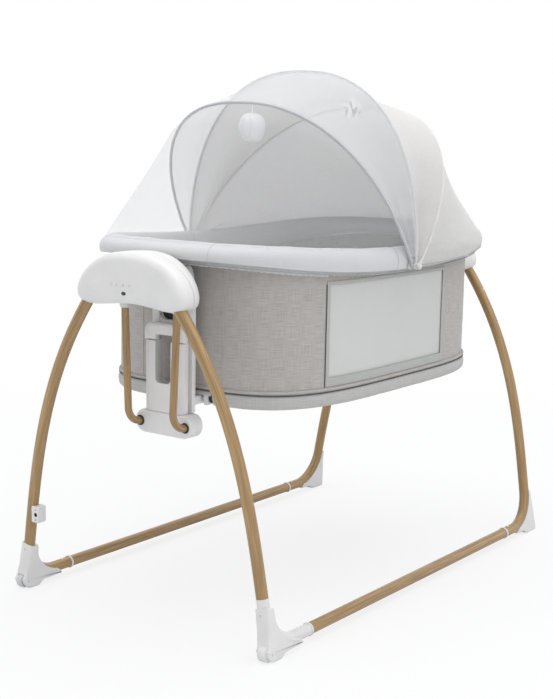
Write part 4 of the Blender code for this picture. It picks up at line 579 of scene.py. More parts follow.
# %% Pull an outline ring by ring
def pulled(outline, stations, axis="Y", end=1, lids=(True, True)):
    """Extrude a circle that lies on the outline through (along, inset) stations on one axis."""
    def place(across, up, along):
        return {"Y": (across, along * end, up), "X": (along * end, across, up),
                "Z": (across, up, along * end)}[axis]
    start_clean()
    bpy.ops.mesh.primitive_circle_add(vertices=len(outline), radius=1, fill_type="NOTHING",
                                      location=(0, 0, 0))
    piece = bpy.context.object
    line = inset_line(outline, stations[0][1])
    for vertex, (across, up) in zip(piece.data.vertices, line):
        vertex.co = place(across, up, stations[0][0])
    for (before, _), (along, inset) in zip(stations, stations[1:]):
        finder = KDTree(len(line))
        for i, (across, up) in enumerate(line):
            finder.insert(place(across, up, along), i)
        finder.balance()
        line = inset_line(outline, inset)
        bpy.ops.object.mode_set(mode="EDIT")
        bpy.ops.mesh.extrude_region_move(TRANSFORM_OT_translate={"value": place(0, 0, along - before)})
        bpy.ops.object.mode_set(mode="OBJECT")
        for vertex in piece.data.vertices:
            if vertex.select:
                across, up = line[finder.find(vertex.co)[1]]
                vertex.co = place(across, up, along)
    if lids[1]:
        bpy.ops.object.mode_set(mode="EDIT")
        bpy.ops.mesh.edge_face_add()
        bpy.ops.object.mode_set(mode="OBJECT")
    if lids[0]:
        bpy.ops.object.mode_set(mode="EDIT")
        bpy.ops.mesh.select_all(action="DESELECT")
        bpy.ops.object.mode_set(mode="OBJECT")
        for i in range(len(outline)):
            piece.data.vertices[i].select = True
        bpy.ops.object.mode_set(mode="EDIT")
        bpy.ops.mesh.edge_face_add()
        bpy.ops.object.mode_set(mode="OBJECT")
    face_outwards(piece)
    return piece


def spun(profile, centre, axis, steps=40):
    """Turn a closed (along, radius) profile about an axis with the spin operator."""
    axis = Vector(axis).normalized()
    out = axis.orthogonal().normalized()
    start_clean()
    bpy.ops.mesh.primitive_circle_add(vertices=len(profile), radius=1, fill_type="NOTHING",
                                      location=(0, 0, 0))
    piece = bpy.context.object
    for vertex, (along, radius) in zip(piece.data.vertices, profile):
        vertex.co = Vector(centre) + axis * along + out * radius
    bpy.ops.object.mode_set(mode="EDIT")
    bpy.ops.mesh.select_all(action="SELECT")
    bpy.ops.mesh.spin(steps=steps, angle=2 * math.pi, center=centre, axis=axis, dupli=False)
    bpy.ops.object.mode_set(mode="OBJECT")
    face_outwards(piece, 0.00002)
    return piece


def cut_away(piece, cutter):
    """Take the shape of a cutter out of a piece."""
    step = piece.modifiers.new("cut", "BOOLEAN")
    step.operation, step.solver, step.object = "DIFFERENCE", "EXACT", cutter
    pick(piece)
    bpy.ops.object.modifier_apply(modifier=step.name)
    bpy.data.objects.remove(cutter)
    return piece


def screw_head(centre, axis, radius=0.0028):
    """A sunk screw head: a shallow dish with a cross slot."""
    head = spun(((-0.001, 0.0), (0.0004, 0.0), (0.0006, radius * 0.45), (0.0003, radius), (-0.001, radius)),
                centre, axis, 24)
    axis = Vector(axis).normalized()
    first = axis.orthogonal().normalized()
    for arm in (first, axis.cross(first)):
        start_clean()
        bpy.ops.mesh.primitive_cube_add(size=1, location=(0, 0, 0))
        slot = bpy.context.object
        slot.scale = (0.0007, radius * 1.2, 0.0012)
        slot.rotation_euler = Matrix((arm.cross(axis), arm, axis)).transposed().to_euler()
        slot.location = Vector(centre) + axis * 0.0006
        settle(slot)
        cut_away(head, slot)
    return head


print("pulling and spinning helpers ready")

# %% [markdown]
# ## Stand tubes
# Each leg is one bent steel tube with a printed wood grain under clear lacquer. The bend is one smooth
# sweep, so the leg is swept along a curve through the same places as the frame's tube. A spring pin
# locks it into the floor tube, whose mouth has a pale collar.

# %% Where the legs run
HALF_LENGTH, HALF_WIDTH, PIVOT_HEIGHT = 0.5, 0.303, 0.6515
TUBE_RADIUS, FLOOR_TUBE_HEIGHT, CORNER_RADIUS = 0.011, 0.022, 0.072
FLOOR_JOINT_Y = 0.385
LEG_TOP, LEG_BOW, LEG_SKEW = (0.1164, 0.5186, 0.5908), 0.1595, 0.0713
ENDS = {"front": -1, "rear": 1}
SIDES = {"left": -1, "right": 1}


def leg_point(share, side, end):
    """A point on a leg's axis: share 0 is at the housing and 1 is the floor corner."""
    swell = share * (1 - share)
    x = LEG_TOP[0] + (HALF_WIDTH - LEG_TOP[0]) * share + LEG_BOW * swell + LEG_SKEW * swell * (1 - 2 * share)
    y = LEG_TOP[1] + (HALF_LENGTH - LEG_TOP[1]) * share
    return Vector((side * x, end * y, LEG_TOP[2] + (FLOOR_TUBE_HEIGHT - LEG_TOP[2]) * share))


def leg_share(height):
    return (LEG_TOP[2] - height) / (LEG_TOP[2] - FLOOR_TUBE_HEIGHT)


def leg_points(side, end):
    """From inside the housing, down the leg and round the corner to the floor joint."""
    bend = leg_share(FLOOR_TUBE_HEIGHT + CORNER_RADIUS)
    top = leg_point(0, side, end)
    rise = (top - leg_point(0.02, side, end)).normalized()
    points = [top + rise * 0.026] + [leg_point(bend * i / 60, side, end) for i in range(60)]
    start, corner = leg_point(bend, side, end), leg_point(1, side, end)
    stop = Vector((side * HALF_WIDTH, end * (HALF_LENGTH - CORNER_RADIUS), FLOOR_TUBE_HEIGHT))
    pull_in, pull_out = start.lerp(corner, 0.5523), stop.lerp(corner, 0.5523)
    for i in range(25):
        t = i / 24
        a, b, c = start.lerp(pull_in, t), pull_in.lerp(pull_out, t), pull_out.lerp(stop, t)
        points.append(a.lerp(b, t).lerp(b.lerp(c, t), t))
    points.append(Vector((side * HALF_WIDTH, end * (FLOOR_JOINT_Y + 0.0003), FLOOR_TUBE_HEIGHT)))
    return points


print("leg length", round(sum((b - a).length for a, b in zip(leg_points(1, 1), leg_points(1, 1)[1:])), 3),
      "m")

# %% Legs, with their spring pins
def pin_head(base, out, radius=0.0031, height=0.0022):
    """The rounded head of a spring pin that stands out of a tube."""
    dome = [(height * s, radius * c) for c, s in quarter(6)]
    return spun([(-0.001, 0.0), (-0.001, radius)] + dome, base, out, 20)


for end_name, end in ENDS.items():
    for side_name, side in SIDES.items():
        leg = tube_along(leg_points(side, end), TUBE_RADIUS, sides=28)
        finish_piece(leg, f"{end_name}_{side_name}_bent_leg", wood_tube, "stand",
                     (f"{end_name}_leg_{side_name}",), 60)
        spot = Vector((side * HALF_WIDTH, end * (FLOOR_JOINT_Y + 0.018), FLOOR_TUBE_HEIGHT + TUBE_RADIUS))
        heads = [pin_head(spot, Vector((0, 0, 1)))]
        if end == 1:
            share = leg_share(0.545)
            here = leg_point(share, side, end)
            along = (leg_point(share + 0.001, side, end) - here).normalized()
            out = Vector((side, 0, 0))
            out = (out - along * out.dot(along)).normalized()
            heads.append(pin_head(here + out * TUBE_RADIUS, out))
        finish_piece(join_pieces(heads), f"{end_name}_{side_name}_leg_pins", white_plastic, "stand")
print("legs made")

# %% Floor tubes and collars
for side_name, side in SIDES.items():
    ends = [Vector((side * HALF_WIDTH, y, FLOOR_TUBE_HEIGHT)) for y in (-FLOOR_JOINT_Y, FLOOR_JOINT_Y)]
    runs = [ends[0].lerp(ends[1], i / 80) for i in range(81)]
    rail = tube_along(runs, TUBE_RADIUS, sides=28)
    finish_piece(rail, f"{side_name}_floor_rail", wood_tube, "stand",
                 (f"floor_tube_{side_name}",), 60)
    for end_name, end in ENDS.items():
        mouth = Vector((side * HALF_WIDTH, end * FLOOR_JOINT_Y, FLOOR_TUBE_HEIGHT))
        wall = TUBE_RADIUS + 0.0018
        collar = spun(((-0.0046, TUBE_RADIUS), (-0.0046, wall - 0.0008), (-0.0038, wall), (-0.0008, wall),
                       (0, wall - 0.0008), (0, TUBE_RADIUS + 0.0003)), mouth, (0, end, 0))
        finish_piece(collar, f"{end_name}_{side_name}_collar", white_plastic, "stand")
print("floor rails made")

# %% [markdown]
# ## The tub's outline
# Seen from above the bassinet is a rounded rectangle. Everything sewn round it, such as the wall, the
# band, the piping and the rim, follows the same loop at its own distance, so the loop is worked out
# once, at even steps along its length, with the direction that points outwards at each step.

# %% An even loop round the tub
WALL_A, WALL_B, WALL_POWER = 0.3832, 0.2520, 3.8
RIM_A, RIM_B, RIM_POWER = 0.455, 0.275, 3.4
RIM_CORE = (RIM_A - 0.037, RIM_B - 0.0185)
RIM_HEIGHT, RIM_LIFT, RIM_HALF_THICKNESS = 0.664, 0.030, 0.022
BAND_TOP = 0.430


def oval_point(a, b, power, angle):
    c, s = math.cos(angle), math.sin(angle)
    return Vector((math.copysign(abs(c) ** (2 / power), c) * b, math.copysign(abs(s) ** (2 / power), s) * a))


def oval_out(a, b, power, point):
    x = math.copysign(abs(point.x / b) ** (power - 1) / b, point.x)
    y = math.copysign(abs(point.y / a) ** (power - 1) / a, point.y)
    return Vector((x, y)).normalized()


def even_loop(a, b, power, count):
    """Angles that space count points evenly along the loop, and the loop's length."""
    fine = [oval_point(a, b, power, 2 * math.pi * i / 4000) for i in range(4001)]
    lengths = [0.0]
    for p, q in zip(fine, fine[1:]):
        lengths.append(lengths[-1] + (q - p).length)
    wanted = [lengths[-1] * i / count for i in range(count)]
    angles = np.interp(wanted, lengths, [2 * math.pi * i / 4000 for i in range(4001)])
    return [float(angle) for angle in angles], lengths[-1]


def wall_spot(angle):
    """A place on the wall's loop and its outward direction."""
    spot = oval_point(WALL_A, WALL_B, WALL_POWER, angle)
    return spot, oval_out(WALL_A, WALL_B, WALL_POWER, spot)


def rim_height(y):
    return RIM_HEIGHT + RIM_LIFT * (y / RIM_A) ** 2


def rim_station(angle):
    """Centre, outward direction and half width of the rim pad at one angle of its loop."""
    centre = oval_point(*RIM_CORE, RIM_POWER, angle)
    out = oval_out(*RIM_CORE, RIM_POWER, centre)
    return centre, out, 0.0185 + 0.0185 * abs(out.y) ** 2


def ripple(u, v, seed, size):
    """Smooth repeatable unevenness, from about -1 to 1, with folds of one size."""
    broad = solid_noise.noise(Vector((u / size, v / size, seed)))
    fine = solid_noise.noise(Vector((2 * u / size, 2 * v / size, seed + 9)))
    return broad + 0.5 * fine


print("rim loop", round(even_loop(RIM_A, RIM_B, RIM_POWER, 8)[1], 3), "m")

# %% [markdown]
# ## Cloth wall with two net windows
# The wall is linen-look cloth, sewn to a tube below and gathered by elastic under the rim. Its grid
# follows the loop, with rows and columns that fall exactly on the window edges, and the windows' cells
# are left out. Gathers are a short ripple that dies away downwards, over slow slack folds.

# %% Rows and columns of the wall
WINDOW_Y, WINDOW_Z = (-0.247, 0.155), (0.455, 0.634)


def wall_fold(u, z, top):
    """How far the cloth stands out of its even line: gathers at the top, slack folds below."""
    below = top - z
    gather = math.exp(-below / 0.016) * (0.0011 * math.sin(u * 2 * math.pi / 0.0105
                                                           + 2.2 * ripple(u, 0, 3.0, 0.05)))
    slack = 0.0011 * ripple(u, z * 0.45, 5.0, 0.085) + 0.0005 * ripple(u * 0.6, z * 1.6, 8.0, 0.05)
    pull = 0.0008 * math.exp(-(z - BAND_TOP) / 0.020) * math.sin(u * 2 * math.pi / 0.019
                                                                 + 1.7 * ripple(u, 0, 6.0, 0.07))
    return gather + slack * min(1.0, (z - BAND_TOP) / 0.02) + pull


def wall_columns(count=360):
    """Loop angles of the wall's columns, with the nearest ones moved onto the window edges."""
    angles, length = even_loop(WALL_A, WALL_B, WALL_POWER, count)
    cuts = {}
    for side in (1, -1):
        for y in WINDOW_Y:
            share = math.copysign((abs(y) / WALL_A) ** (WALL_POWER / 2), y)
            exact = math.asin(share) if side == 1 else math.pi - math.asin(share)
            exact %= 2 * math.pi
            nearest = min(range(count), key=lambda i: abs(angles[i] - exact))
            angles[nearest] = exact
            cuts[side, y] = nearest
    return angles, cuts, length


columns, window_cuts, wall_length = wall_columns()
levels = [BAND_TOP + 0.0003 + (WINDOW_Z[0] - BAND_TOP - 0.0003) * i / 4 for i in range(4)]
levels += [WINDOW_Z[0] + (WINDOW_Z[1] - WINDOW_Z[0]) * i / 24 for i in range(25)]
print("wall columns", len(columns), "window columns", window_cuts)


# %% The wall
def grid_sheet(rows, maps, thickness, missing=None, closed=False):
    """A cloth sheet through rows of points, with its UV places, given a thickness."""
    width = len(rows[0])
    vertices = [point for row in rows for point in row]
    faces, places = [], []
    for i in range(len(rows) - 1):
        for j in range(width if closed else width - 1):
            if missing and missing(i, j):
                continue
            n = (j + 1) % width
            faces.append((i * width + j, i * width + n, (i + 1) * width + n, (i + 1) * width + j))
            corner = [maps(i, j), maps(i, j + 1), maps(i + 1, j + 1), maps(i + 1, j)]
            places.append(corner)
    piece = mesh_piece(vertices, faces, places)
    wall = piece.modifiers.new("thickness", "SOLIDIFY")
    wall.thickness = thickness
    wall.offset = 0.0
    wall.use_even_offset = True
    return piece


def wall_point(angle, u, z, top, proud=0.0):
    spot, out = wall_spot(angle)
    spot = spot + out * (proud + wall_fold(u, z, top))
    return Vector((spot.x, spot.y, z))


def wall_top(angle):
    """The height where the wall meets the roll's underside, which curves up at its inner edge."""
    spot = oval_point(WALL_A, WALL_B, WALL_POWER, angle)
    middle, out, half_width = rim_station(angle)
    offset = abs((spot.x - middle.x) * out.x + (spot.y - middle.y) * out.y) / half_width
    return rim_height(spot.y) - RIM_HALF_THICKNESS * math.sqrt(1 - min(0.94, offset) ** 2) - 0.0012


count = len(columns)
step = wall_length / count
tops = [wall_top(angle) for angle in columns]
rows, heights = [], []
for level in range(len(levels) + 6):
    row, height = [], []
    for j, angle in enumerate(columns):
        if level < len(levels):
            z = levels[level]
        else:
            z = WINDOW_Z[1] + (tops[j] - WINDOW_Z[1]) * (level - len(levels) + 1) / 6
        row.append(wall_point(angle, j * step, z, tops[j]))
        height.append(z)
    rows.append(row)
    heights.append(height)


def in_window(i, j):
    """Whether a cell of the wall's grid lies in one of the two windows."""
    right = j >= window_cuts[1, WINDOW_Y[0]] or j < window_cuts[1, WINDOW_Y[1]]
    left = window_cuts[-1, WINDOW_Y[1]] <= j < window_cuts[-1, WINDOW_Y[0]]
    return 4 <= i < 28 and (right or left)


wall = grid_sheet(rows, lambda i, j: (j * step, heights[i][j % count]), 0.0024, in_window, closed=True)
finish_piece(wall, "tub_wall", linen, "bassinet", ("wall_fabric",), 60)
print("wall faces", len(wall.data.polygons))

# %% Window net and its border
def window_line(side, inset, proud, drop=0.0, along=60, up=26):
    """The outline of a window, drawn in by an inset, standing proud of the wall."""
    y0, y1, z0, z1 = WINDOW_Y[0] + inset, WINDOW_Y[1] - inset, WINDOW_Z[0] + inset - drop, WINDOW_Z[1] - inset
    path = [(y0 + (y1 - y0) * i / along, z0) for i in range(along)]
    path += [(y1, z0 + (z1 - z0) * i / up) for i in range(up)]
    path += [(y1 - (y1 - y0) * i / along, z1) for i in range(along)]
    path += [(y0, z1 - (z1 - z0) * i / up) for i in range(up)]
    return [side_point(side, y, z, proud) for y, z in path]


def side_point(side, y, z, proud=0.0):
    """A point of the long wall at a given y."""
    share = math.copysign((abs(y) / WALL_A) ** (WALL_POWER / 2), y)
    angle = (math.asin(share) if side == 1 else math.pi - math.asin(share)) % (2 * math.pi)
    u = float(np.interp(angle, columns, [j * step for j in range(count)]))
    return wall_point(angle, u, z, wall_top(angle), proud)


MESH_ROWS, MESH_COLUMNS = 24, 60
for side_name, side in SIDES.items():
    rows = []
    for i in range(MESH_ROWS + 1):
        z = WINDOW_Z[0] + (WINDOW_Z[1] - WINDOW_Z[0]) * i / MESH_ROWS
        row = []
        for j in range(MESH_COLUMNS + 1):
            y = WINDOW_Y[0] + (WINDOW_Y[1] - WINDOW_Y[0]) * j / MESH_COLUMNS
            edge = min(1.0, 4 * min(i, MESH_ROWS - i) / MESH_ROWS, 4 * min(j, MESH_COLUMNS - j)
                       / MESH_COLUMNS)
            row.append(side_point(side, y, z, -0.0006 + 0.0024 * edge * ripple(y, z, 21.0 + side, 0.11)))
        rows.append(row)
    net = grid_sheet(rows, lambda i, j: (j * 0.00708, i * 0.00729), 0.0006)
    finish_piece(net, f"{side_name}_window_mesh", window_mesh, "bassinet",
                 (f"window_net_{side_name}",), 60)
    outer, inner = window_line(side, -0.0050, 0.0022, drop=0.0085), window_line(side, 0.0025, 0.0022)
    around = len(outer)
    ring_rows = [outer, [a.lerp(b, 0.5) + Vector((side * 0.0007, 0, 0)) for a, b in zip(outer, inner)], inner]
    border = grid_sheet(ring_rows, lambda i, j: (j * 0.0072, i * 0.005), 0.0012, closed=True)
    finish_piece(border, f"{side_name}_window_border", trim_cloth, "bassinet", (), 60)
    piping = tube_along([side_point(side, WINDOW_Y[0] - 0.0059, 0.4405 + 0.193 * i / 40, 0.0024)
                         for i in range(41)], 0.0009, sides=8)
    finish_piece(piping, f"{side_name}_window_piping", dark_piping, "bassinet")
print("windows made")

# %% Seams of the wall
def wall_line(angle, z0, z1, proud, count_points=40):
    u = float(np.interp(angle, columns, [j * step for j in range(count)]))
    top = wall_top(angle)
    return [wall_point(angle, u, z0 + (z1 - z0) * i / count_points, top, proud)
            for i in range(count_points + 1)]


seam_angles = []
for sign_x in (1, -1):
    for sign_y in (1, -1):
        corner = math.asin(0.9866) if sign_y > 0 else -math.asin(0.9866)
        seam_angles.append((corner if sign_x > 0 else math.pi - corner) % (2 * math.pi))
seams = [tube_along(wall_line(angle, BAND_TOP + 0.001, wall_top(angle) - 0.0005, 0.0014), 0.0009, sides=8)
         for angle in seam_angles]
finish_piece(join_pieces(seams), "tub_wall_seams", linen, "bassinet")
print("seams at", [round(math.degrees(angle)) for angle in seam_angles])

# %% [markdown]
# ## Hem and tube sleeve
# Under the wall runs a rolled hem, and below it a paler sleeve is laced round the base tube. Near the
# brackets the sleeve stops, so that the steel tube shows with its dark ring and a white clip.

# %% Hem roll and sleeve
def loop_points(a, b, power, z, count_points=240, wobble=0.0, seed=0.0):
    angles, length = even_loop(a, b, power, count_points)
    made = []
    for i, angle in enumerate(angles):
        spot = oval_point(a, b, power, angle)
        out = oval_out(a, b, power, spot)
        sway = wobble * ripple(length * i / count_points, 0, seed, 0.06)
        made.append(Vector((spot.x + out.x * sway, spot.y + out.y * sway, z + 0.6 * sway)))
    return made


hem = tube_along(loop_points(WALL_A + 0.0022, WALL_B + 0.0022, WALL_POWER, 0.4362, wobble=0.0006,
                             seed=31.0), 0.0033, sides=12, closed=True, up=(0, 0, 1))
finish_piece(hem, "tub_hem_roll", linen, "bassinet", (), 80)
cord_line = tube_along(loop_points(WALL_A + 0.0042, WALL_B + 0.0042, WALL_POWER, 0.4316, wobble=0.0003,
                                   seed=32.0), 0.0008, sides=8, closed=True, up=(0, 0, 1))
finish_piece(cord_line, "tub_hem_piping", dark_piping, "bassinet", (), 80)
print("hem made")

# %% Sleeve round the base tube
SLEEVE_END = 0.078


def sleeve_section(spot, out, u, closed_end):
    """The sleeve's outside from the hem, round the tube and up behind it."""
    puff = 0.0010 * ripple(u, 0, 41.0, 0.045) + 0.0005 * ripple(u, 0, 43.0, 0.014)
    profile = ((0.0010, 0.4300), (0.0042, 0.4285), (0.0056 + puff, 0.4225), (0.0056 + puff, 0.4150),
               (0.0044 + puff, 0.4085), (0.0010, 0.4052 - puff * 0.4), (-0.0070, 0.4042 - puff * 0.4),
               (-0.0150, 0.4062), (-0.0168, 0.4110))
    if closed_end:
        profile = ((0.0010, 0.4300), (0.0042, 0.4285), (0.0050, 0.4265), (0.0050, 0.4250), (0.0046, 0.4240),
                   (0.0040, 0.4232), (0.0032, 0.4224), (0.0024, 0.4218), (0.0018, 0.4216))
    return [Vector((spot.x + out.x * offset, spot.y + out.y * offset, z)) for offset, z in profile]


SLEEVE_COUNT = 420
angles, length = even_loop(WALL_A, WALL_B, WALL_POWER, SLEEVE_COUNT)
stations, marks = [], []
for i, angle in enumerate(angles):
    spot, out = wall_spot(angle)
    short = abs(spot.x) < SLEEVE_END and abs(spot.y) > 0.3
    stations.append(sleeve_section(spot, out, length * i / SLEEVE_COUNT, short))
    marks.append(short)
rows = [[station[k] for station in stations] for k in range(9)]


def sleeve_stops(i, j):
    """Whether the sleeve has one of its ends between two stations."""
    return marks[j] != marks[(j + 1) % SLEEVE_COUNT]


sleeve = grid_sheet(rows, lambda i, j: (j * length / SLEEVE_COUNT, i * 0.006), 0.0009, sleeve_stops,
                    closed=True)
finish_piece(sleeve, "base_tube_sleeve", sleeve_cloth, "bassinet", ("base_band",), 70)
print("sleeve faces", len(sleeve.data.polygons))

# %% [markdown]
# ## Padded rim
# The rim is a wadded roll with a smooth cloth cover, wider at both ends and fuller along both sides. It
# is swept as an oval section square to the loop, with a groove beneath for the steel tube. The wadding
# makes soft swells, the cover dips at its seams, and the elastic under it gathers the cloth into short
# puckers.

# %% Sections of the rim roll
RIM_SEAMS = (1.788, 2.188, 3.180, 4.930, 5.330, 6.245)
RIM_COUNT = 420


PUCKER_PITCH = 0.0125


def seam_dip(angle, width=0.010):
    """A soft dip of the cover at each of its seams, from 0 to 1."""
    near = min(abs((angle - seam + math.pi) % (2 * math.pi) - math.pi) for seam in RIM_SEAMS)
    return math.exp(-(near / width) ** 2)


def rim_halves(out):
    """Half thicknesses above and below the middle: the roll is fullest along the two sides."""
    return RIM_HALF_THICKNESS + 0.0065 * out.x ** 2, RIM_HALF_THICKNESS + 0.0045 * out.x ** 2


def rim_section(angle, u, steps=30):
    middle, out, half_width = rim_station(angle)
    above, below = rim_halves(out)
    groove, groove_half = half_width - 0.013, 0.0095
    height = rim_height(middle.y)

    def underside(offset):
        return -below * math.sqrt(max(0.0, 1 - (offset / half_width) ** 2))

    start = math.atan2(underside(groove + groove_half) / below, (groove + groove_half) / half_width)
    stop = math.atan2(underside(groove - groove_half) / below,
                      (groove - groove_half) / half_width) + 2 * math.pi
    points = []
    for i in range(steps + 1):
        turn = start + (stop - start) * i / steps
        crest = max(0.0, math.sin(turn))
        low = max(0.0, -math.sin(turn))
        swell = 0.0011 * ripple(u, turn * 0.02, 51.0, 0.09) + 0.0004 * ripple(u, turn * 0.02, 52.0, 0.03)
        pucker = 0.0013 * low * math.sin(u * 2 * math.pi / PUCKER_PITCH + 2.0 * ripple(u, 0, 53.0, 0.05))
        dip = -0.0016 * seam_dip(angle) * (1 - low)
        grow = min(0.0, swell) * 1.2 + min(0.0, dip) + pucker * 0.7 - 0.0003 + max(0.0, swell) * 0.5 * crest
        points.append((half_width + grow, (above if turn % (2 * math.pi) < math.pi else below) + grow, turn))
    profile = [(wide * math.cos(turn), high * math.sin(turn)) for wide, high, turn in points]
    drop = rim_height(middle.y + out.y * groove) - height
    ceiling = drop + 0.0073
    profile += [(groove - groove_half, ceiling - 0.004), (groove - groove_half + 0.003, ceiling),
                (groove, ceiling + 0.0004), (groove + groove_half - 0.003, ceiling),
                (groove + groove_half, ceiling - 0.004)]
    return [Vector((middle.x + out.x * offset, middle.y + out.y * offset, height + rise))
            for offset, rise in profile]


rim_angles, rim_length = even_loop(*RIM_CORE, RIM_POWER, RIM_COUNT)
sections = [rim_section(angle, rim_length * i / RIM_COUNT) for i, angle in enumerate(rim_angles)]
around = len(sections[0])
vertices = [point for section in sections for point in section]
faces, places = [], []
for i in range(RIM_COUNT):
    k = (i + 1) % RIM_COUNT
    for j in range(around):
        n = (j + 1) % around
        faces.append((i * around + j, i * around + n, k * around + n, k * around + j))
        u0, u1 = i * rim_length / RIM_COUNT, (i + 1) * rim_length / RIM_COUNT
        v0, v1 = j * 0.005, (j + 1) * 0.005
        places.append(((u0, v0), (u0, v1), (u1, v1), (u1, v0)))
rim = mesh_piece(vertices, faces, places)
finish_piece(rim, "padded_rim", pale_cloth, "bassinet", ("rim_pad",), 70)
print("rim length", round(rim_length, 3), "m")

# %% Stitched seams and the elastic edge of the rim
def rim_skin(angle, turn, gap):
    """A point just off the roll's skin: turn 0 is its outermost line, a quarter turn its crest."""
    middle, out, half_width = rim_station(angle)
    reach, rise = (half_width + gap) * math.cos(turn), (rim_halves(out)[turn < 0] + gap) * math.sin(turn)
    return Vector((middle.x + out.x * reach, middle.y + out.y * reach, rim_height(middle.y) + rise))


seams = []
for seam in RIM_SEAMS:
    turns = [math.radians(-46 + 240 * i / 40) for i in range(41)]
    seams.append(tube_along([rim_skin(seam, turn, -0.0014) for turn in turns], 0.0007, sides=8))
finish_piece(join_pieces(seams), "rim_seam_stitches", binding, "bassinet")
edge = []
for i, angle in enumerate(rim_angles):
    u = rim_length * i / RIM_COUNT
    wave = 0.0017 * math.sin(u * 2 * math.pi / PUCKER_PITCH + 2.0 * ripple(u, 0, 53.0, 0.05))
    point = rim_skin(angle, math.radians(-52), -0.0006 + wave)
    edge.append(point + Vector((0, 0, 0.5 * wave)))
elastic = tube_along(edge, 0.0011, sides=8, closed=True, up=(0, 0, 1))
finish_piece(elastic, "rim_elastic_edge", trim_cloth, "bassinet", (), 80)
print("rim seams made")

# %% [markdown]
# ## Mattress
# The mattress is a quilted pad, and its swell between the quilting lines is what makes it read as soft.
# It starts a little smaller than its place, a cloth simulation with inner pressure plumps it up, and
# the quilting lines are pressed in afterwards, because remeshing would remove them.

# %% Mattress
MATTRESS_LOW, MATTRESS_HIGH = 0.4301, 0.4661


MATTRESS_A, MATTRESS_B = WALL_A - 0.0033, WALL_B - 0.0033


def mattress_outline(grow, count_points=120):
    angles, _ = even_loop(MATTRESS_A, MATTRESS_B, WALL_POWER, count_points)
    made = []
    for angle in angles:
        spot = oval_point(MATTRESS_A, MATTRESS_B, WALL_POWER, angle)
        out = oval_out(WALL_A, WALL_B, WALL_POWER, spot)
        made.append(spot + out * grow)
    return made


def filled_pad(name, outline, low, high, rounding, rows=7):
    """A closed pad from its outline, with rounded edges and even grids above and below."""
    vertices, faces = [], []
    count_points = len(outline)
    middle = (low + high) / 2
    half = (high - low) / 2
    for i in range(rows):
        turn = -math.pi / 2 + math.pi * i / (rows - 1)
        inset = rounding * (1 - math.cos(turn))
        rise = math.sin(turn) * half
        for point in outline:
            inward = point.normalized() * -inset
            vertices.append(Vector((point.x + inward.x, point.y + inward.y, middle + rise)))
    for i in range(rows - 1):
        for j in range(count_points):
            n = (j + 1) % count_points
            faces.append((i * count_points + j, i * count_points + n, (i + 1) * count_points + n,
                          (i + 1) * count_points + j))
    faces.append(tuple(reversed(range(count_points))))
    faces.append(tuple(range((rows - 1) * count_points, rows * count_points)))
    piece = mesh_piece(vertices, faces, [[(vertices[v].x, vertices[v].y) for v in face] for face in faces])
    piece.name = name
    return piece


def even_skin(piece, voxel):
    """Rebuild a pad's skin from even small faces."""
    pick(piece)
    skin = piece.modifiers.new("voxels", "REMESH")
    skin.mode = "VOXEL"
    skin.voxel_size = voxel
    bpy.ops.object.modifier_apply(modifier=skin.name)


def plump(piece, voxel, pressure, cap, frames=20):
    """Swell a pad with cloth pressure. No point moves further than the cap."""
    even_skin(piece, voxel)
    rest = np.array([vertex.co[:] for vertex in piece.data.vertices])
    soft = piece.modifiers.new("cloth", "CLOTH")
    soft.settings.use_pressure = True
    soft.settings.uniform_pressure_force = pressure
    soft.settings.effector_weights.gravity = 0
    soft.settings.quality = 4
    scene = bpy.context.scene
    for frame_number in range(1, frames + 1):
        scene.frame_set(frame_number)
    graph = bpy.context.evaluated_depsgraph_get()
    swollen = piece.evaluated_get(graph).to_mesh()
    moved = np.array([vertex.co[:] for vertex in swollen.vertices])
    piece.evaluated_get(graph).to_mesh_clear()
    piece.modifiers.remove(soft)
    scene.frame_set(1)
    shift = moved - rest
    length = np.linalg.norm(shift, axis=1, keepdims=True)
    capped = rest + shift * np.minimum(1.0, cap / np.maximum(length, 1e-9))
    piece.data.vertices.foreach_set("co", capped.ravel())
    piece.data.update()


mattress = filled_pad("mattress_pad", mattress_outline(-0.005), MATTRESS_LOW + 0.003, MATTRESS_HIGH - 0.005,
                      0.010)
VOXEL, PRESSURE, SWELL_CAP = 0.006, 3.0, 0.006
plump(mattress, VOXEL, PRESSURE, SWELL_CAP)
pick(mattress)
finer = mattress.modifiers.new("finer", "SUBSURF")
finer.levels = finer.render_levels = 1
bpy.ops.object.modifier_apply(modifier=finer.name)
points = np.array([vertex.co[:] for vertex in mattress.data.vertices])
top = np.clip((points[:, 2] - 0.452) / 0.008, 0, 1)
pitch, line_half_width = 0.074, 0.0045
across_line = np.abs(((points[:, 0] + points[:, 1]) / pitch + 0.5) % 1.0 - 0.5) * pitch
other_line = np.abs(((points[:, 0] - points[:, 1]) / pitch + 0.5) % 1.0 - 0.5) * pitch
press = np.exp(-(across_line / line_half_width) ** 2) + np.exp(-(other_line / line_half_width) ** 2)
points[:, 2] -= 0.0032 * np.minimum(press, 1.2) * top
points[:, 2] = np.clip(points[:, 2], MATTRESS_LOW + 0.0002, MATTRESS_HIGH - 0.0002)
mattress.data.vertices.foreach_set("co", points.ravel())
mattress.data.update()
layer = mattress.data.uv_layers.active or mattress.data.uv_layers.new(name="UVMap")
flat_map = [value for loop in mattress.data.loops for value in points[loop.vertex_index][:2]]
layer.data.foreach_set("uv", flat_map)
finish_piece(mattress, "quilted_mattress", quilt_cloth, "bassinet", ("mattress",), 80)
print("mattress faces", len(mattress.data.polygons))
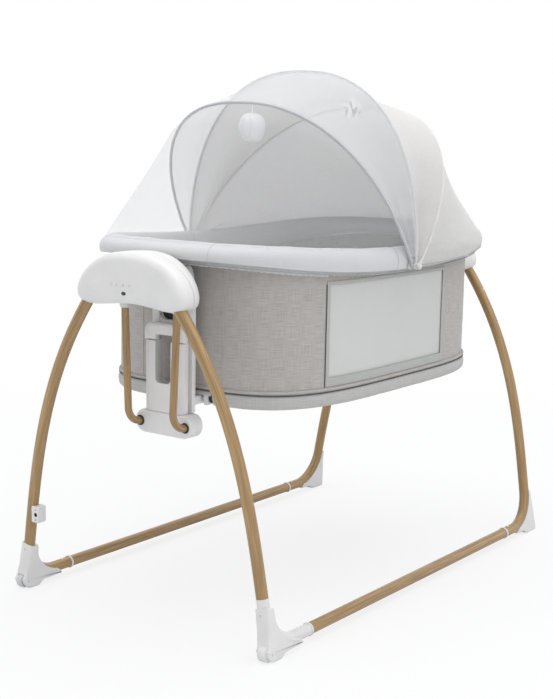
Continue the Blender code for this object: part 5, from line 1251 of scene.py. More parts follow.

# %% [markdown]
# ## Hood bows
# Three spring-wire bows swing on one pin at each side. Each wire lies in a narrow cloth sleeve, which is
# grey binding on the front bow, pale cloth on the middle bow and hood cloth on the rear bow. All three
# share one arch, which leans forwards or back about the pins, and the cloth panels are worked out from the
# same arch.

# %% The arch and its lean
HOOD_Y, HOOD_Z = -0.020, 0.655
BOW_RADIUS, BOW_POWER = 0.0030, 2.35
BOW_LEAN = (math.radians(32.8), math.radians(-0.5), math.radians(-39.4))
BOW_NAMES = ("front_bow", "middle_bow", "rear_bow")
BOW_BODIES = ("hood_front", "hood_middle", "hood_rear")
BOW_REACHES = (0.3670, 0.3750, 0.4000)


def bow_size(order):
    return 0.2815 + order * 0.0068, BOW_REACHES[order]


def arch_spot(turn):
    c, s = math.cos(turn), math.sin(turn)
    return math.copysign(abs(c) ** (2 / BOW_POWER), c), max(s, 0.0) ** (2 / BOW_POWER)


def arch_at(share):
    """Across and rise of the unit arch, at a share of its length from the right foot to the left."""
    return arch_spot(float(np.interp(share, arch_lengths, arch_turns)))


arch_turns = [math.pi * i / 3000 for i in range(3001)]
arch_points = [arch_spot(turn) for turn in arch_turns]
arch_lengths = [0.0]
for p, q in zip(arch_points, arch_points[1:]):
    arch_lengths.append(arch_lengths[-1] + math.dist(p, q))
arch_lengths = [length / arch_lengths[-1] for length in arch_lengths]


def lean_point(x, rise, angle):
    return Vector((x, HOOD_Y - rise * math.sin(angle), HOOD_Z + rise * math.cos(angle)))


def bow_arch(order, share, low=0.0050):
    """Across and rise of a bow at a share of its length. The foot starts inside its eye."""
    half_width, reach = bow_size(order)
    x, rise = arch_at(share)
    return x * half_width, max(rise * reach, low)


print("bow widths", [round(2 * bow_size(order)[0], 3) for order in range(3)])

# %% Bows in their sleeves, with eyes on the pins
for order, (name, body, lean) in enumerate(zip(BOW_NAMES, BOW_BODIES, BOW_LEAN)):
    half_width, reach = bow_size(order)
    path = [lean_point(*bow_arch(order, 0.004 + 0.992 * i / 160), lean) for i in range(161)]
    rod = tube_along(path, BOW_RADIUS, sides=14)
    parts = [rod]
    for side in (-1, 1):
        profile = ((-BOW_RADIUS, 0.0033), (-BOW_RADIUS, 0.0056), (-BOW_RADIUS + 0.0009, 0.0065),
                   (BOW_RADIUS - 0.0009, 0.0065), (BOW_RADIUS, 0.0056), (BOW_RADIUS, 0.0033))
        parts.append(spun(profile, (side * half_width, HOOD_Y, HOOD_Z), (1, 0, 0), 28))
    finish_piece(join_pieces(parts), f"{name}_sleeve", (binding, pale_cloth, hood_cloth)[order], body,
                 (name,), 50)
print("bows made")

# %% [markdown]
# ## Hood cloth
# A panel between two bows is one curved sheet. Pulled along the bows and slack between them, it sags in
# the middle and folds towards the pins, where all the cloth is gathered. The front net hangs from the
# front bow to the crest of the rim, and the rear panel wraps down round the outside of the rim.

# %% Panels between the bows
def panel_share(i, total, start=0.016):
    return start + (1 - 2 * start) * i / total


def fan_fold(share, mix, seed, depth):
    """Folds that fan out from the pins: deep near the feet, almost none at the crown."""
    foot = min(share, 1 - share)
    fan = math.exp(-foot / 0.10)
    wave = math.sin(mix * math.pi * 5 + 3 * ripple(share, 0, seed, 0.3))
    return depth * fan * math.sin(mix * math.pi) * wave


def bow_panel(front, rear, seed, sag, across=22, along=150):
    """The sheet from the back of one bow to the front of the next, as rows of points."""
    gap = BOW_RADIUS + 0.0003
    rows = []
    for j in range(across + 1):
        mix = j / across
        row = []
        for i in range(along + 1):
            share = panel_share(i, along)
            (x0, r0), (x1, r1) = bow_arch(front, share), bow_arch(rear, share)
            a0, a1 = BOW_LEAN[front] - gap / r0, BOW_LEAN[rear] + gap / r1
            x, rise = x0 + (x1 - x0) * mix, r0 + (r1 - r0) * mix
            scale = min(1.0, rise / 0.12)
            dip = sag * math.sin(mix * math.pi) * scale - fan_fold(share, mix, seed, 0.0030)
            dip += 0.0012 * ripple(share * 0.9, mix * 0.22, seed + 2, 0.09) * math.sin(mix * math.pi)
            across_unit = x / bow_size(front)[0]
            length = math.hypot(across_unit * 0.5, rise / 0.37) or 1.0
            row.append(lean_point(x - dip * across_unit * 0.5 / length, rise - dip * (rise / 0.37) / length,
                                  a0 + (a1 - a0) * mix))
        rows.append(row)
    return rows


def panel_map(rows, spread):
    def place(i, j):
        j = min(j, len(rows[0]) - 1)
        return j * 0.0058, i * spread
    return place


def follow(piece, rows, shares):
    """Put a panel's place into its mesh and find each point's share between two bodies, 0 for the first and 1
    for the second. The shares are worked out but not kept.
    """
    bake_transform(piece)
    finder = KDTree(len(rows) * len(rows[0]))
    for i, row in enumerate(rows):
        for point in row:
            finder.insert(point, i)
    finder.balance()
    values = [shares[finder.find(vertex.co)[1]] for vertex in piece.data.vertices]


top_rows = bow_panel(1, 2, 61.0, 0.0300)
hood_top = grid_sheet(top_rows, panel_map(top_rows, 0.0105), 0.0011)
finish_piece(hood_top, "hood_top_cloth", hood_cloth, None, ("hood_top_panel",), 70)
follow(hood_top, top_rows, [1 - i / 22 for i in range(23)])
net_rows = bow_panel(0, 1, 71.0, 0.0180)
net_top = grid_sheet(net_rows, panel_map(net_rows, 0.0098), 0.0008)
finish_piece(net_top, "hood_net_panel", hood_net, None, ("net_top_panel",), 70)
follow(net_top, net_rows, [1 - i / 22 for i in range(23)])
print("panels between the bows made")

# %% Rear panel, down round the rim
def bow_edge(order, share, side, gap=0.0041):
    x, rise = bow_arch(order, share)
    return lean_point(x, rise, BOW_LEAN[order] + side * gap / rise)


def length_shares(points):
    """The share of a line's length at each of its points."""
    lengths = [0.0]
    for p, q in zip(points, points[1:]):
        lengths.append(lengths[-1] + (q - p).length)
    return [length / lengths[-1] for length in lengths]


REAR_LAND_TURN = 52
half_angles = [math.pi * i / 1500 for i in range(1501)]
half_lengths = length_shares([rim_skin(angle, math.radians(REAR_LAND_TURN), 0.0018) for angle in half_angles])
along, rows = 170, []
skirt_turns = [math.radians(REAR_LAND_TURN - 74 * k / 12) for k in range(13)]
for j in range(37):
    row = []
    for i in range(along + 1):
        t = i / along
        angle = float(np.interp(t, half_lengths, half_angles))
        start = bow_edge(2, panel_share(i, along), -1)
        land = rim_skin(angle, skirt_turns[0], 0.0024)
        if j <= 24:
            mix = j / 24
            point = start.lerp(land, mix)
            foot = min(t, 1 - t)
            slack = 0.0110 * math.sin(mix * math.pi) * min(1.0, foot / 0.12)
            folds = 0.0026 * math.exp(-foot / 0.14) * math.sin(mix * math.pi) * math.sin(t * 60 + mix * 4)
            swell = 0.0016 * ripple(t * 1.1, mix * 0.28, 81.0, 0.11) * math.sin(mix * math.pi)
            inward = Vector((point.x * 0.8, point.y - HOOD_Y, 0.12)).normalized()
            point = point - inward * (slack + folds + swell)
        else:
            k = j - 24
            u = t * 1.15
            gather = 0.0020 * math.sin(u * 2 * math.pi / 0.0135
                                       + 2.2 * ripple(u, 0, 83.0, 0.06)) * (k / 12) ** 1.5
            point = rim_skin(angle, skirt_turns[k], 0.0026 + 0.0016 * ripple(u, k * 0.01, 84.0, 0.05)
                             + gather)
        row.append(point)
    rows.append(row)
rear_cloth = grid_sheet(rows, lambda i, j: (j * 0.0068, i * 0.0085), 0.0011)
finish_piece(rear_cloth, "hood_rear_cloth", hood_cloth, None, ("hood_rear_panel",), 70)
follow(rear_cloth, rows, [1 - i / 24 for i in range(25)] + [0.0] * 12)
hem_path = [point + Vector((0, 0, -0.0004)) for point in rows[-1]]
rear_hem = tube_along(hem_path, 0.0016, sides=8)
finish_piece(rear_hem, "hood_rear_hem", trim_cloth, "bassinet", (), 80)
print("rear panel made")

# %% Front net, from the front bow to the crest of the rim
along, rows = 160, []
FRONT_LAND_TURN = math.radians(58)
front_angles = [2 * math.pi - math.pi * i / 1500 for i in range(1501)]
front_lengths = length_shares([rim_skin(angle, FRONT_LAND_TURN, 0.0011) for angle in front_angles])
for j in range(37):
    mix = j / 36
    row = []
    for i in range(along + 1):
        t = i / along
        angle = float(np.interp(0.02 + 0.96 * t, front_lengths, front_angles))
        start = bow_edge(0, 0.045 + 0.91 * t, 1)
        land = rim_skin(angle, FRONT_LAND_TURN, 0.0012)
        point = start.lerp(land, mix)
        foot = min(t, 1 - t)
        inward_slack = 0.003 * math.sin(mix * math.pi) ** 1.2 * min(1.0, foot / 0.15)
        slack = inward_slack - 0.0125 * (1 - mix) * min(1.0, mix * 8, foot / 0.38)
        wave = math.sin(t * 44 + 2.5 * ripple(t, mix * 0.3, 91.0, 0.3))
        folds = 0.0020 * math.sin(mix * math.pi) * wave * (0.35 + 0.65 * mix)
        inward = Vector((point.x * 0.8, point.y - HOOD_Y, 0.10)).normalized()
        row.append(point - inward * (slack + folds))
    rows.append(row)
front_net = grid_sheet(rows, lambda i, j: (j * 0.0065, i * 0.0080), 0.0006)
finish_piece(front_net, "front_net_veil", sheer_net, "hood_front", ("front_net",), 70)
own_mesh(front_net)
print("front net made")

# %% [markdown]
# ## Housings
# The drive sits in a bean-shaped housing at the front, and a hub of the same shape holds the rear pivot.
# Each is a white cup with a wide soft edge round its flat face, and a back cup behind a parting line,
# which narrows towards the bassinet. Both cups are pulled from one outline, so that they match.

# %% The housing's outline
JOINT_Y, EDGE_Y, FACE_Y, BACK_Y = 0.503, 0.524, 0.5375, 0.4605
HOUSING_HALF = (0.130, 0.047)
BEAN_Z = PIVOT_HEIGHT - 0.0035
BACK_SCREWS = ((-0.030, -0.026), (0, 0.024), (0.030, -0.026))


def housing_line(count=112):
    """The bean outline: a flattened oval whose two ends droop."""
    points = []
    for i in range(count):
        turn = 2 * math.pi * i / count
        x = math.copysign(abs(math.cos(turn)) ** 0.72, math.cos(turn))
        swell = (1 - abs(x) ** 3.4) ** 0.5
        z = BEAN_Z - 0.031 * x * x + math.copysign(HOUSING_HALF[1] * swell, math.sin(turn))
        points.append((x * HOUSING_HALF[0], z))
    return points


BEAN = housing_line()
print("housing", round(max(p[0] for p in BEAN) * 2000), "mm wide,", round(max(p[1] for p in BEAN), 4),
      "m high")

# %% Cover, back and web of each end
def leg_tool(side, end):
    """A rod along the top of a leg, a little thicker, that cuts its hole."""
    top = leg_point(0, side, end)
    rise = (top - leg_point(0.02, side, end)).normalized()
    points = [top + rise * 0.034] + [leg_point(0.012 * i, side, end) for i in range(8)]
    return tube_along(points, TUBE_RADIUS + 0.0006, sides=32)


def narrow_back(piece):
    """Draw the piece in behind the parting line, most at its two ends."""
    for vertex in piece.data.vertices:
        depth = min(1.0, max(0.0, (JOINT_Y - 0.002 - abs(vertex.co.y)) / (JOINT_Y - BACK_Y))) ** 2
        vertex.co.x *= 1 - 0.25 * depth
        vertex.co.z = PIVOT_HEIGHT - 0.010 + (vertex.co.z - PIVOT_HEIGHT + 0.010) * (1 - 0.05 * depth)


def hollow_out(piece, wall=0.0024):
    """Give a cup a wall that goes inwards from its skin."""
    skin = piece.modifiers.new("wall", "SOLIDIFY")
    skin.thickness, skin.offset = wall, -1
    apply_all(piece)


def housing(end_name):
    end = ENDS[end_name]
    whole = "motor_housing" if end == -1 else "rear_hub"
    edge = [(JOINT_Y + 0.0003, 0.0007), (JOINT_Y + 0.0010, 0.0)]
    edge += [(JOINT_Y + (EDGE_Y - JOINT_Y) * share, 0.0) for share in (0.3, 0.7)]
    edge += [(EDGE_Y - 0.004 + (FACE_Y - EDGE_Y + 0.004) * s, 0.0165 * (1 - c)) for c, s in quarter(10)]
    cover = pulled(BEAN, edge + [(FACE_Y, 0.0180)], end=end, lids=(False, True))
    hollow_out(cover)
    inner = [(JOINT_Y - 0.0003, 0.0007), (JOINT_Y - 0.0010, 0.0)]
    inner += [(JOINT_Y - 0.002 - 0.006 * i, 0.0) for i in range(6)]
    inner += [(BACK_Y + 0.0085 - 0.0085 * s, 0.0085 * (1 - c)) for c, s in quarter(7)]
    inner.append((BACK_Y, 0.0100))
    back = pulled(BEAN, inner, end=end, lids=(False, True))
    narrow_back(back)
    hollow_out(back)
    for side in (-1, 1):
        cut_away(cover, leg_tool(side, end))
        slot = pulled(rounded_line(side * 0.063 - 0.0280, side * 0.063 + 0.0280, 0.560, 0.636, 0.008),
                      [(0.4580, 0), (0.4825, 0)], end=end)
        cut_away(back, slot)
    finish_piece(cover, f"{whole}_shell", white_plastic, "stand", (f"{whole}_cover",))
    finish_piece(back, f"{whole}_back_shell", white_plastic, "stand", (f"{whole}_back",))
    web = pulled(inset_line(BEAN, 0.0030), [(0.4945, 0), (0.4975, 0)], end=end)
    narrow_back(web)
    bore = pulled(oval_line(0, PIVOT_HEIGHT, 0.0113, 0.0113, 24), [(0.480, 0), (0.510, 0)], end=end)
    cut_away(web, bore)
    finish_piece(web, f"{whole}_web_plate", white_plastic, "stand")
    screws = [screw_head((x, end * BACK_Y, BEAN_Z + z), (0, -end, 0), 0.0032) for x, z in BACK_SCREWS]
    finish_piece(join_pieces(screws), f"{whole}_back_screws", steel, "stand")
    return cover


for end_name in ENDS:
    print(end_name, "housing", tuple(round(value, 3) for value in housing(end_name).dimensions))

# %% [markdown]
# ## Touch marks and lens
# The front face has four faint touch marks and a small dark lens for the remote control. The marks are
# thin printed shapes: a broken ring with a stroke, an open ring, three bars and two arrowheads. Each is
# pulled a tenth of a millimetre out of the face, which catches the light as raised ink does.

# %% Marks on the face
def ring_arc(cx, cz, radius, wide, start, stop, steps=20):
    """A thin arc as a closed line of points."""
    turns = [math.radians(start + (stop - start) * i / steps) for i in range(steps + 1)]
    outer = [(cx + (radius + wide) * math.cos(t), cz + (radius + wide) * math.sin(t)) for t in turns]
    return outer + [(cx + radius * math.cos(t), cz + radius * math.sin(t)) for t in reversed(turns)]


MARK_Z, MARK_HALF = 0.6355, 0.0026
marks = [ring_arc(-0.036, MARK_Z, 0.0024, 0.0006, -240, 60)]
marks.append([(-0.0363, MARK_Z), (-0.0357, MARK_Z), (-0.0357, MARK_Z + 0.0036), (-0.0363, MARK_Z + 0.0036)])
marks.append(ring_arc(-0.0215, MARK_Z, 0.0022, 0.0008, 60, 300))
for i, high in enumerate((0.0016, 0.0026, 0.0036)):
    x = -0.0098 + 0.0017 * i
    low, top = MARK_Z - MARK_HALF, MARK_Z - MARK_HALF + high * 1.4
    marks.append([(x, low), (x + 0.0009, low), (x + 0.0009, top), (x, top)])
for x in (0.0045, 0.0075):
    low, top = MARK_Z - MARK_HALF, MARK_Z + MARK_HALF
    marks.append([(x, low), (x + 0.0007, low), (x + 0.0031, MARK_Z), (x + 0.0007, top), (x, top),
                  (x + 0.0022, MARK_Z)])
made = [pulled(line, [(FACE_Y - 0.0002, 0), (FACE_Y + 0.0001, 0)], end=-1) for line in marks]
finish_piece(join_pieces(made), "face_touch_marks", mark_ink, "stand")

LENS_AT = (-0.006, 0.6205)
lens_rise = [(FACE_Y - 0.002, 0.0003), (FACE_Y + 0.0001, 0.0003), (FACE_Y + 0.0005, 0.0007),
             (FACE_Y + 0.0008, 0.0016), (FACE_Y + 0.0009, 0.0026)]
lens = pulled(oval_line(*LENS_AT, 0.0058, 0.0038, 40), lens_rise, end=-1)
finish_piece(lens, "remote_lens", black_gloss, "stand", ("sensor_window",))
print("marks", len(marks))

# %% [markdown]
# ## Swing arms and brackets
# At each end two bent tubes hang from the pivot and turn in under the bassinet into a moulded bar. A
# tower with half-round flanks and a window stands on the bar, and the release handle bridges the
# window. The tower is pulled upwards from its plan, the bar and the handle forwards from their fronts.

# %% Arms with their ferrules
ARM_RADIUS, ARM_Y, ARM_TOP_X, ARM_LOW_X, ARM_BEND, BAR_Z = 0.007, 0.4715, 0.063, 0.055, 0.032, 0.367
ARM_STRAIGHT_Z = 0.5805
RIB_X = 0.034


def arm_points(side, end):
    points = [Vector((side * ARM_TOP_X, end * ARM_Y, z)) for z in (0.6422, 0.62, 0.60, ARM_STRAIGHT_Z)]
    for i in range(1, 24):
        share = i / 24
        x = ARM_TOP_X + (ARM_LOW_X - ARM_TOP_X) * share
        points.append(Vector((side * x, end * ARM_Y, ARM_STRAIGHT_Z + (BAR_Z + ARM_BEND - ARM_STRAIGHT_Z)
                              * share)))
    for c, s in quarter(12):
        points.append(Vector((side * ARM_LOW_X, end * (ARM_Y - ARM_BEND * (1 - c)),
                              BAR_Z + ARM_BEND * (1 - s))))
    points.append(Vector((side * ARM_LOW_X, end * 0.4238, BAR_Z)))
    return points


for end_name, end in ENDS.items():
    for side_name, side in SIDES.items():
        arm = tube_along(arm_points(side, end), ARM_RADIUS, sides=24)
        finish_piece(arm, f"{end_name}_{side_name}_swing_arm", wood_tube, "swing",
                     (f"{end_name}_arm_{side_name}",), 60)
        top = Vector((side * ARM_TOP_X, end * ARM_Y, 0.5985))
        ferrule = spun(((0, ARM_RADIUS), (0, 0.0086), (-0.0008, 0.0098), (-0.0016, 0.0100),
                        (-0.0098, 0.0100), (-0.0106, 0.0097), (-0.0112, 0.0090), (-0.0140, 0.0085),
                        (-0.0140, ARM_RADIUS)), top, (0, 0, 1))
        finish_piece(ferrule, f"{end_name}_{side_name}_arm_ferrule", white_plastic, "swing")
        grommet = spun(((0.0004, 0.0066), (0.0004, 0.0094), (0.0014, 0.0100), (0.0026, 0.0096),
                        (0.0032, 0.0084), (0.0032, 0.0066)), (side * ARM_LOW_X, end * 0.4370, BAR_Z),
                       (0, end, 0))
        finish_piece(grommet, f"{end_name}_{side_name}_arm_grommet", black_matt, "swing")
print("arms made")

# %% Lower bars, towers and handles
TOWER_FRONT, TOWER_BACK = 0.4375, 0.4117
for end_name, end in ENDS.items():
    seam = [(0.4000, 0.0052)] + [(0.4000 + 0.004 * (1 - c), 0.004 * (1 - s)) for c, s in quarter(5)]
    seam += [(0.4178, 0), (0.4182, 0.0006), (0.4188, 0.0006), (0.4192, 0)]
    seam += [(0.4335 + 0.004 * s, 0.004 * (1 - c)) for c, s in quarter(5)] + [(0.4375, 0.0052)]
    bar = pulled(rounded_line(-0.068, 0.068, BAR_Z - 0.022, BAR_Z + 0.022, 0.0205, 14), seam, end=end)
    finish_piece(bar, f"{end_name}_cross_bar", white_plastic, "swing",
                 (f"{end_name}_lower_bar",))

    plan = [(x, end * y) for x, y in rounded_line(-0.047, 0.047, TOWER_BACK, TOWER_FRONT, 0.0115, 10)]
    slab = pulled(plan, [(0.3893, 0.0012), (0.3898, 0.0003), (0.3905, 0), (0.5212, 0), (0.5221, 0.0004),
                         (0.5225, 0.0012)], axis="Z")
    cut_away(slab, pulled(rounded_line(-0.0185, 0.0185, 0.444, 0.560, 0.009, 8),
                          [(0.400, -0.0085), (0.4340, -0.0005), (0.450, 0)], end=end))
    for x in (-0.0365, 0.0365):
        cut_away(slab, pulled(rounded_line(x - 0.0004, x + 0.0004, 0.3800, 0.540, 0.0003, 1),
                              [(TOWER_FRONT - 0.0007, 0), (0.450, 0)], end=end))
    for side in (-1, 1):
        groove = pulled(rounded_line(side * RIB_X - 0.0058, side * RIB_X + 0.0058, 0.380, 0.540, 0.0005, 1),
                        [(0.405, 0), (0.4185, 0)], end=end)
        cut_away(slab, groove)
    finish_piece(slab, f"{end_name}_tower_body", white_plastic, "swing",
                 (f"{end_name}_tower",), 30)

    arch = [(-0.021, 0.5232), (-0.021, 0.5300)]
    arch += [(-0.021 + 0.004 * (1 - c), 0.5300 + 0.004 * s) for c, s in quarter(4, 1)]
    arch += [(-x, z) for x, z in reversed(arch)]
    outer = [(0.0485, 0.5232), (0.0485, 0.5380)]
    outer += [(0.0485 - 0.018 * (1 - c), 0.5380 + 0.018 * s) for c, s in quarter(12, 1)]
    outer += [(0.012, 0.5562), (0.0, 0.5563)]
    outer += [(-x, z) for x, z in reversed(outer[:-1])]
    handle = pulled(arch + outer, rounded_stations(0.4192, TOWER_FRONT, 0.0068, 7), end=end)
    grips = [pulled(rounded_line(x - 0.0016, x + 0.0016, 0.5385, 0.5508, 0.0015, 3),
                    [(TOWER_FRONT - 0.0010, 0.0), (TOWER_FRONT + 0.0002, 0.0),
                     (TOWER_FRONT + 0.0006, 0.0004)], end=end)
             for x in (-0.0225, -0.0150, -0.0075, 0, 0.0075, 0.0150, 0.0225)]
    finish_piece(join_pieces([handle] + grips), f"{end_name}_pull_handle", white_plastic,
                 f"{end_name}_handle", (f"{end_name}_release_handle",), 30)
print("brackets made")

# %% [markdown]
# ## Socket plates
# The bassinet hangs on an upright plate at each end, which drops over the tower. It clamps the base tube
# with a hooked foot and carries the rim tube on a saddle. Two ribs slide in the tower's grooves. The
# ribs, neck and holes make a stepped flat shape, so the outline is pulled and the holes are cut from it.

# %% Plates with ribs, foot and saddle
right_side = [(0.046, 0.3893), (0.0488, 0.3905), (0.050, 0.3933), (0.050, 0.6004), (0.0490, 0.6020),
              (0.0470, 0.6022)]
right_side += [(0.0330 + 0.0138 * c, 0.6230 + 0.0418 * s) for c, s in quarter(9)]
PLATE_LINE = right_side + [(-x, z) for x, z in reversed(right_side)]
PLATE_HOLES = ((0.029, 0.440, 0.538, 0.010), (0.0310, 0.5595, 0.5995, 0.0140))
RIB_DEPTH = rounded_stations(0.4098, 0.4170, 0.0008, 2, 0.0004)
# The saddle under the rim tube, its cheek, and the foot that clamps the base tube.
PLATE_BLOCKS = (((-0.0325, 0.0325, 0.6545, 0.6648, 0.0018, 4), (0.4040, 0.4490, 0.0012, 3, 0.0004)),
                ((-0.020, 0.020, 0.6600, 0.6820, 0.002, 4), (0.4338, 0.4502, 0.001, 3, 0.0004)),
                ((-0.0495, 0.0495, 0.4040, 0.4205, 0.004, 5), (0.3745, 0.4060, 0.0018, 4, 0.0006)))
for end_name, end in ENDS.items():
    upright = pulled(PLATE_LINE, rounded_stations(0.4017, 0.4113, 0.0012, 3, 0.0006), end=end)
    for wide, low, high, corner in PLATE_HOLES:
        cut_away(upright, pulled(rounded_line(-wide, wide, low, high, corner), [(0.395, 0), (0.420, 0)],
                                 end=end))
    # Painted shade: a thin black sheet behind the latch slot darkens the slot, which would otherwise show the
    # cloth wall behind it.
    slot_shade_sheet = pulled(rounded_line(-0.0325, 0.0325, 0.5580, 0.6010, 0.0150),
                    [(0.3990, 0.0008), (0.3998, 0), (0.4016, 0)], end=end)
    finish_piece(slot_shade_sheet, f"{end_name}_painted_slot_shade", black_matt, "bassinet")
    ribs = [pulled(rounded_line(x - 0.005, x + 0.005, 0.3935, 0.600, 0.0015, 3), RIB_DEPTH, end=end)
            for x in (-RIB_X, RIB_X)]
    blocks = [pulled(rounded_line(*front), rounded_stations(*depth), end=end)
              for front, depth in PLATE_BLOCKS]
    plate = join_pieces([upright] + blocks + ribs)
    finish_piece(plate, f"{end_name}_plate_body", white_plastic, "bassinet",
                 (f"{end_name}_socket_plate",), 30)
print("socket plates made")

# %% [markdown]
# ## Feet and rollers
# Each front foot is a white cover round the corner of the leg, with a toe slot for a small roller, and
# each rear foot is a plain wedge behind the bend. Seen from the side they are one flat outline, so it is
# pulled sideways and rounded. The sleeve then leans with its leg, and the holes are cut last.

# %% The side view of a foot
ROLLER_AT = (-0.5095, 0.0158)


def foot_line(end, height, length, toe):
    """A sleeve up the leg, a rounded toe, a sole and a wedge under the floor tube, in (y, z)."""
    back, inner, web_top = 0.5138, 0.4862, 0.0358
    points = [(back, height), (back, 0.0470)]
    points += [(back + (toe + 0.5 - back) * (1 - c), 0.0470 - 0.0250 * s) for c, s in quarter(6, 1)[:-1]]
    points += [(0.5 + toe - 0.022 * (1 - c), 0.022 * (1 - s)) for c, s in quarter(10)]
    sole = 0.458 + toe
    points += [(sole + 0.004, 0), (sole, 0.0008), (sole - 0.008, 0.0068), (sole - 0.014, 0.0088)]
    tip = 0.5 - length
    points += [(tip + 0.002, 0.0096), (tip, 0.0108), (tip + 0.003, 0.0150), (tip + 0.011, 0.022)]
    start, stop = Vector((tip + 0.011, 0.022)), Vector((inner, height))
    pull = Vector((inner - 0.004, web_top - 0.004))
    for i in range(1, 15):
        t = i / 15
        spot = start.lerp(pull, t).lerp(pull.lerp(stop, t), t)
        points.append((spot.x, spot.y))
    points.append((inner, height))
    return [(end * y, z) for y, z in points]


def wedge_line(end, side):
    """The side view of a rear foot: from high on the back of the bend down to a heel and forward to a tip."""
    middle = [(point.y, point.z) for point in leg_points(side, end) if point.z < 0.094
              and abs(point.y) > 0.441]
    heel = [(0.5145, 0.0952), (0.5170, 0.0700), (0.5282, 0.0050), (0.5277, 0.0016), (0.5255, 0.0),
            (0.486, 0.0), (0.479, 0.0020), (0.470, 0.0086), (0.436, 0.0098)]
    return [(end * y, z) for y, z in heel] + middle[::-1]


def made_foot(end_name, side_name):
    end, side = ENDS[end_name], SIDES[side_name]
    height = 0.092 if end == -1 else 0.094
    if end == -1:
        line, wide = foot_line(end, height, 0.085, 0.020), 0.0145
    else:
        line, wide = wedge_line(end, side), 0.0112
    stations = rounded_stations(HALF_WIDTH - wide, HALF_WIDTH + wide, 0.0030, 5, 0.0006)
    low, high = stations[0:len(stations) // 2], stations[len(stations) // 2:]
    middle = [(HALF_WIDTH + wide * share, 0) for share in (-0.62, -0.42, -0.21, 0, 0.21, 0.42, 0.62)]
    foot = pulled(line, low + middle + high, axis="X", end=side)
    track = [point for point in reversed(leg_points(side, end)) if point.z > 0.0175]
    rise, across = [point.z for point in track], [abs(point.x) for point in track]
    for vertex in foot.data.vertices:
        up = min(1.0, max(0.0, (vertex.co.z - 0.040) / 0.025))
        if end == -1:
            bulge = (1 - min(0.95, abs(abs(vertex.co.x) - HALF_WIDTH) / 0.0153) ** 2.6) ** (1 / 2.6)
            vertex.co.y = end * (0.5 + (abs(vertex.co.y) - 0.5) * (1 + (bulge - 1) * up))
        beyond, back = abs(vertex.co.x) - HALF_WIDTH, abs(vertex.co.y) - 0.5
        near_top = min(1.0, max(0.0, (vertex.co.z - height + 0.03) / 0.03)) * (end == -1)
        vertex.co.x += side * (float(np.interp(vertex.co.z, rise, across)) - HALF_WIDTH)
        vertex.co.z += (0.28 * beyond + 0.24 * back) * near_top
    bend = [point for point in leg_points(side, end) if point.z < height + 0.02]
    cut_away(foot, tube_along(bend, TUBE_RADIUS + 0.0004, sides=32))
    if end == -1:
        slot = spun(((-0.0075, 0), (-0.0075, 0.0150), (0.0075, 0.0150), (0.0075, 0)),
                    (side * HALF_WIDTH, *ROLLER_AT), (1, 0, 0), 32)
        cut_away(foot, slot)
    return foot


for side_name, side in SIDES.items():
    for end_name in ENDS:
        finish_piece(made_foot(end_name, side_name), f"{end_name}_{side_name}_foot_cover", white_plastic,
                     "stand", (f"{end_name}_foot_{side_name}",), 30)
    axle = Vector((side * HALF_WIDTH, *ROLLER_AT))
    profile = ((-0.0065, 0.0026), (-0.0065, 0.0050), (-0.0052, 0.0058), (-0.0052, 0.0100),
               (-0.0065, 0.0108), (-0.0063, 0.0130), (-0.0052, 0.0139), (-0.0036, 0.0140),
               (-0.0032, 0.0137), (-0.0028, 0.0140))
    roller = spun(profile + tuple((-along, radius) for along, radius in reversed(profile)), axle, (1, 0, 0),
                  48)
    finish_piece(roller, f"{side_name}_toe_roller", roller_grey, f"roller_{side_name}",
                 (f"front_roller_{side_name}",), 30)
    pin = spun(((-0.0146, 0), (-0.0146, 0.0018), (-0.0142, 0.0026), (0.0142, 0.0026), (0.0146, 0.0018),
                (0.0146, 0)), axle, (1, 0, 0), 24)
    finish_piece(pin, f"{side_name}_roller_pin", steel, "stand",
                 (f"roller_axle_{side_name}",), 30)
    at = leg_point(leg_share(0.082), side, -1)
    finish_piece(screw_head((at.x, -0.5136, 0.082), (0, -1, 0), 0.0024), f"{side_name}_foot_screw", steel,
                 "stand")
print("feet and rollers made")

# %% [markdown]
# ## Mains inlet
# A small white box is clipped to the inside of the left front leg, with a round jack for the adaptor and
# two screws. Its case is pulled from a rounded outline, and the jack is spun with its hole and pin.

# %% Inlet box
INLET_HEIGHT = 0.1595
leg_at = leg_point(leg_share(INLET_HEIGHT), -1, -1)
left_x = leg_at.x + TUBE_RADIUS - 0.0028
case = pulled(rounded_line(left_x, left_x + 0.019, 0.143, 0.176, 0.0028, 5),
              rounded_stations(leg_at.y - 0.011, leg_at.y + 0.011, 0.0018, 4, 0.0005))
near = [point for point in leg_points(-1, -1) if 0.10 < point.z < 0.22]
cut_away(case, tube_along(near, TUBE_RADIUS + 0.0003, sides=32))
jack_x = left_x + 0.0095 + 0.0028
jack_at = (jack_x, leg_at.y - 0.011, INLET_HEIGHT)
hole = spun(((-0.004, 0), (-0.004, 0.0042), (0.009, 0.0042), (0.009, 0)), jack_at, (0, 1, 0), 32)
cut_away(case, hole)
finish_piece(case, "inlet_case", white_plastic, "stand", ("inlet_box",), 30)
jack = spun(((-0.0003, 0.0024), (-0.0003, 0.0036), (0.0002, 0.0039), (0.0085, 0.0039), (0.0085, 0),
             (0.0078, 0), (0.0078, 0.0024)), jack_at, (0, 1, 0), 32)
contact = spun(((0.0080, 0), (0.0022, 0), (0.0018, 0.0007), (0.0022, 0.0010), (0.0080, 0.0010)), jack_at,
               (0, 1, 0), 20)
finish_piece(jack, "inlet_jack", black_matt, "stand", ("inlet_socket",), 30)
finish_piece(contact, "inlet_contact", steel, "stand")
screws = [screw_head((jack_x, leg_at.y - 0.011, z), (0, -1, 0), 0.0019) for z in (0.1495, 0.1695)]
finish_piece(join_pieces(screws), "inlet_screws", steel, "stand")
print("inlet made")

# %% [markdown]
# ## Pins, clips and tube fittings
# The small hard parts that close the joints: the pin at each side that the bows turn on, and the white
# clip and dark ring where the steel base tube shows beside the brackets. They are all round or nearly
# so, so most are spun from half a section.

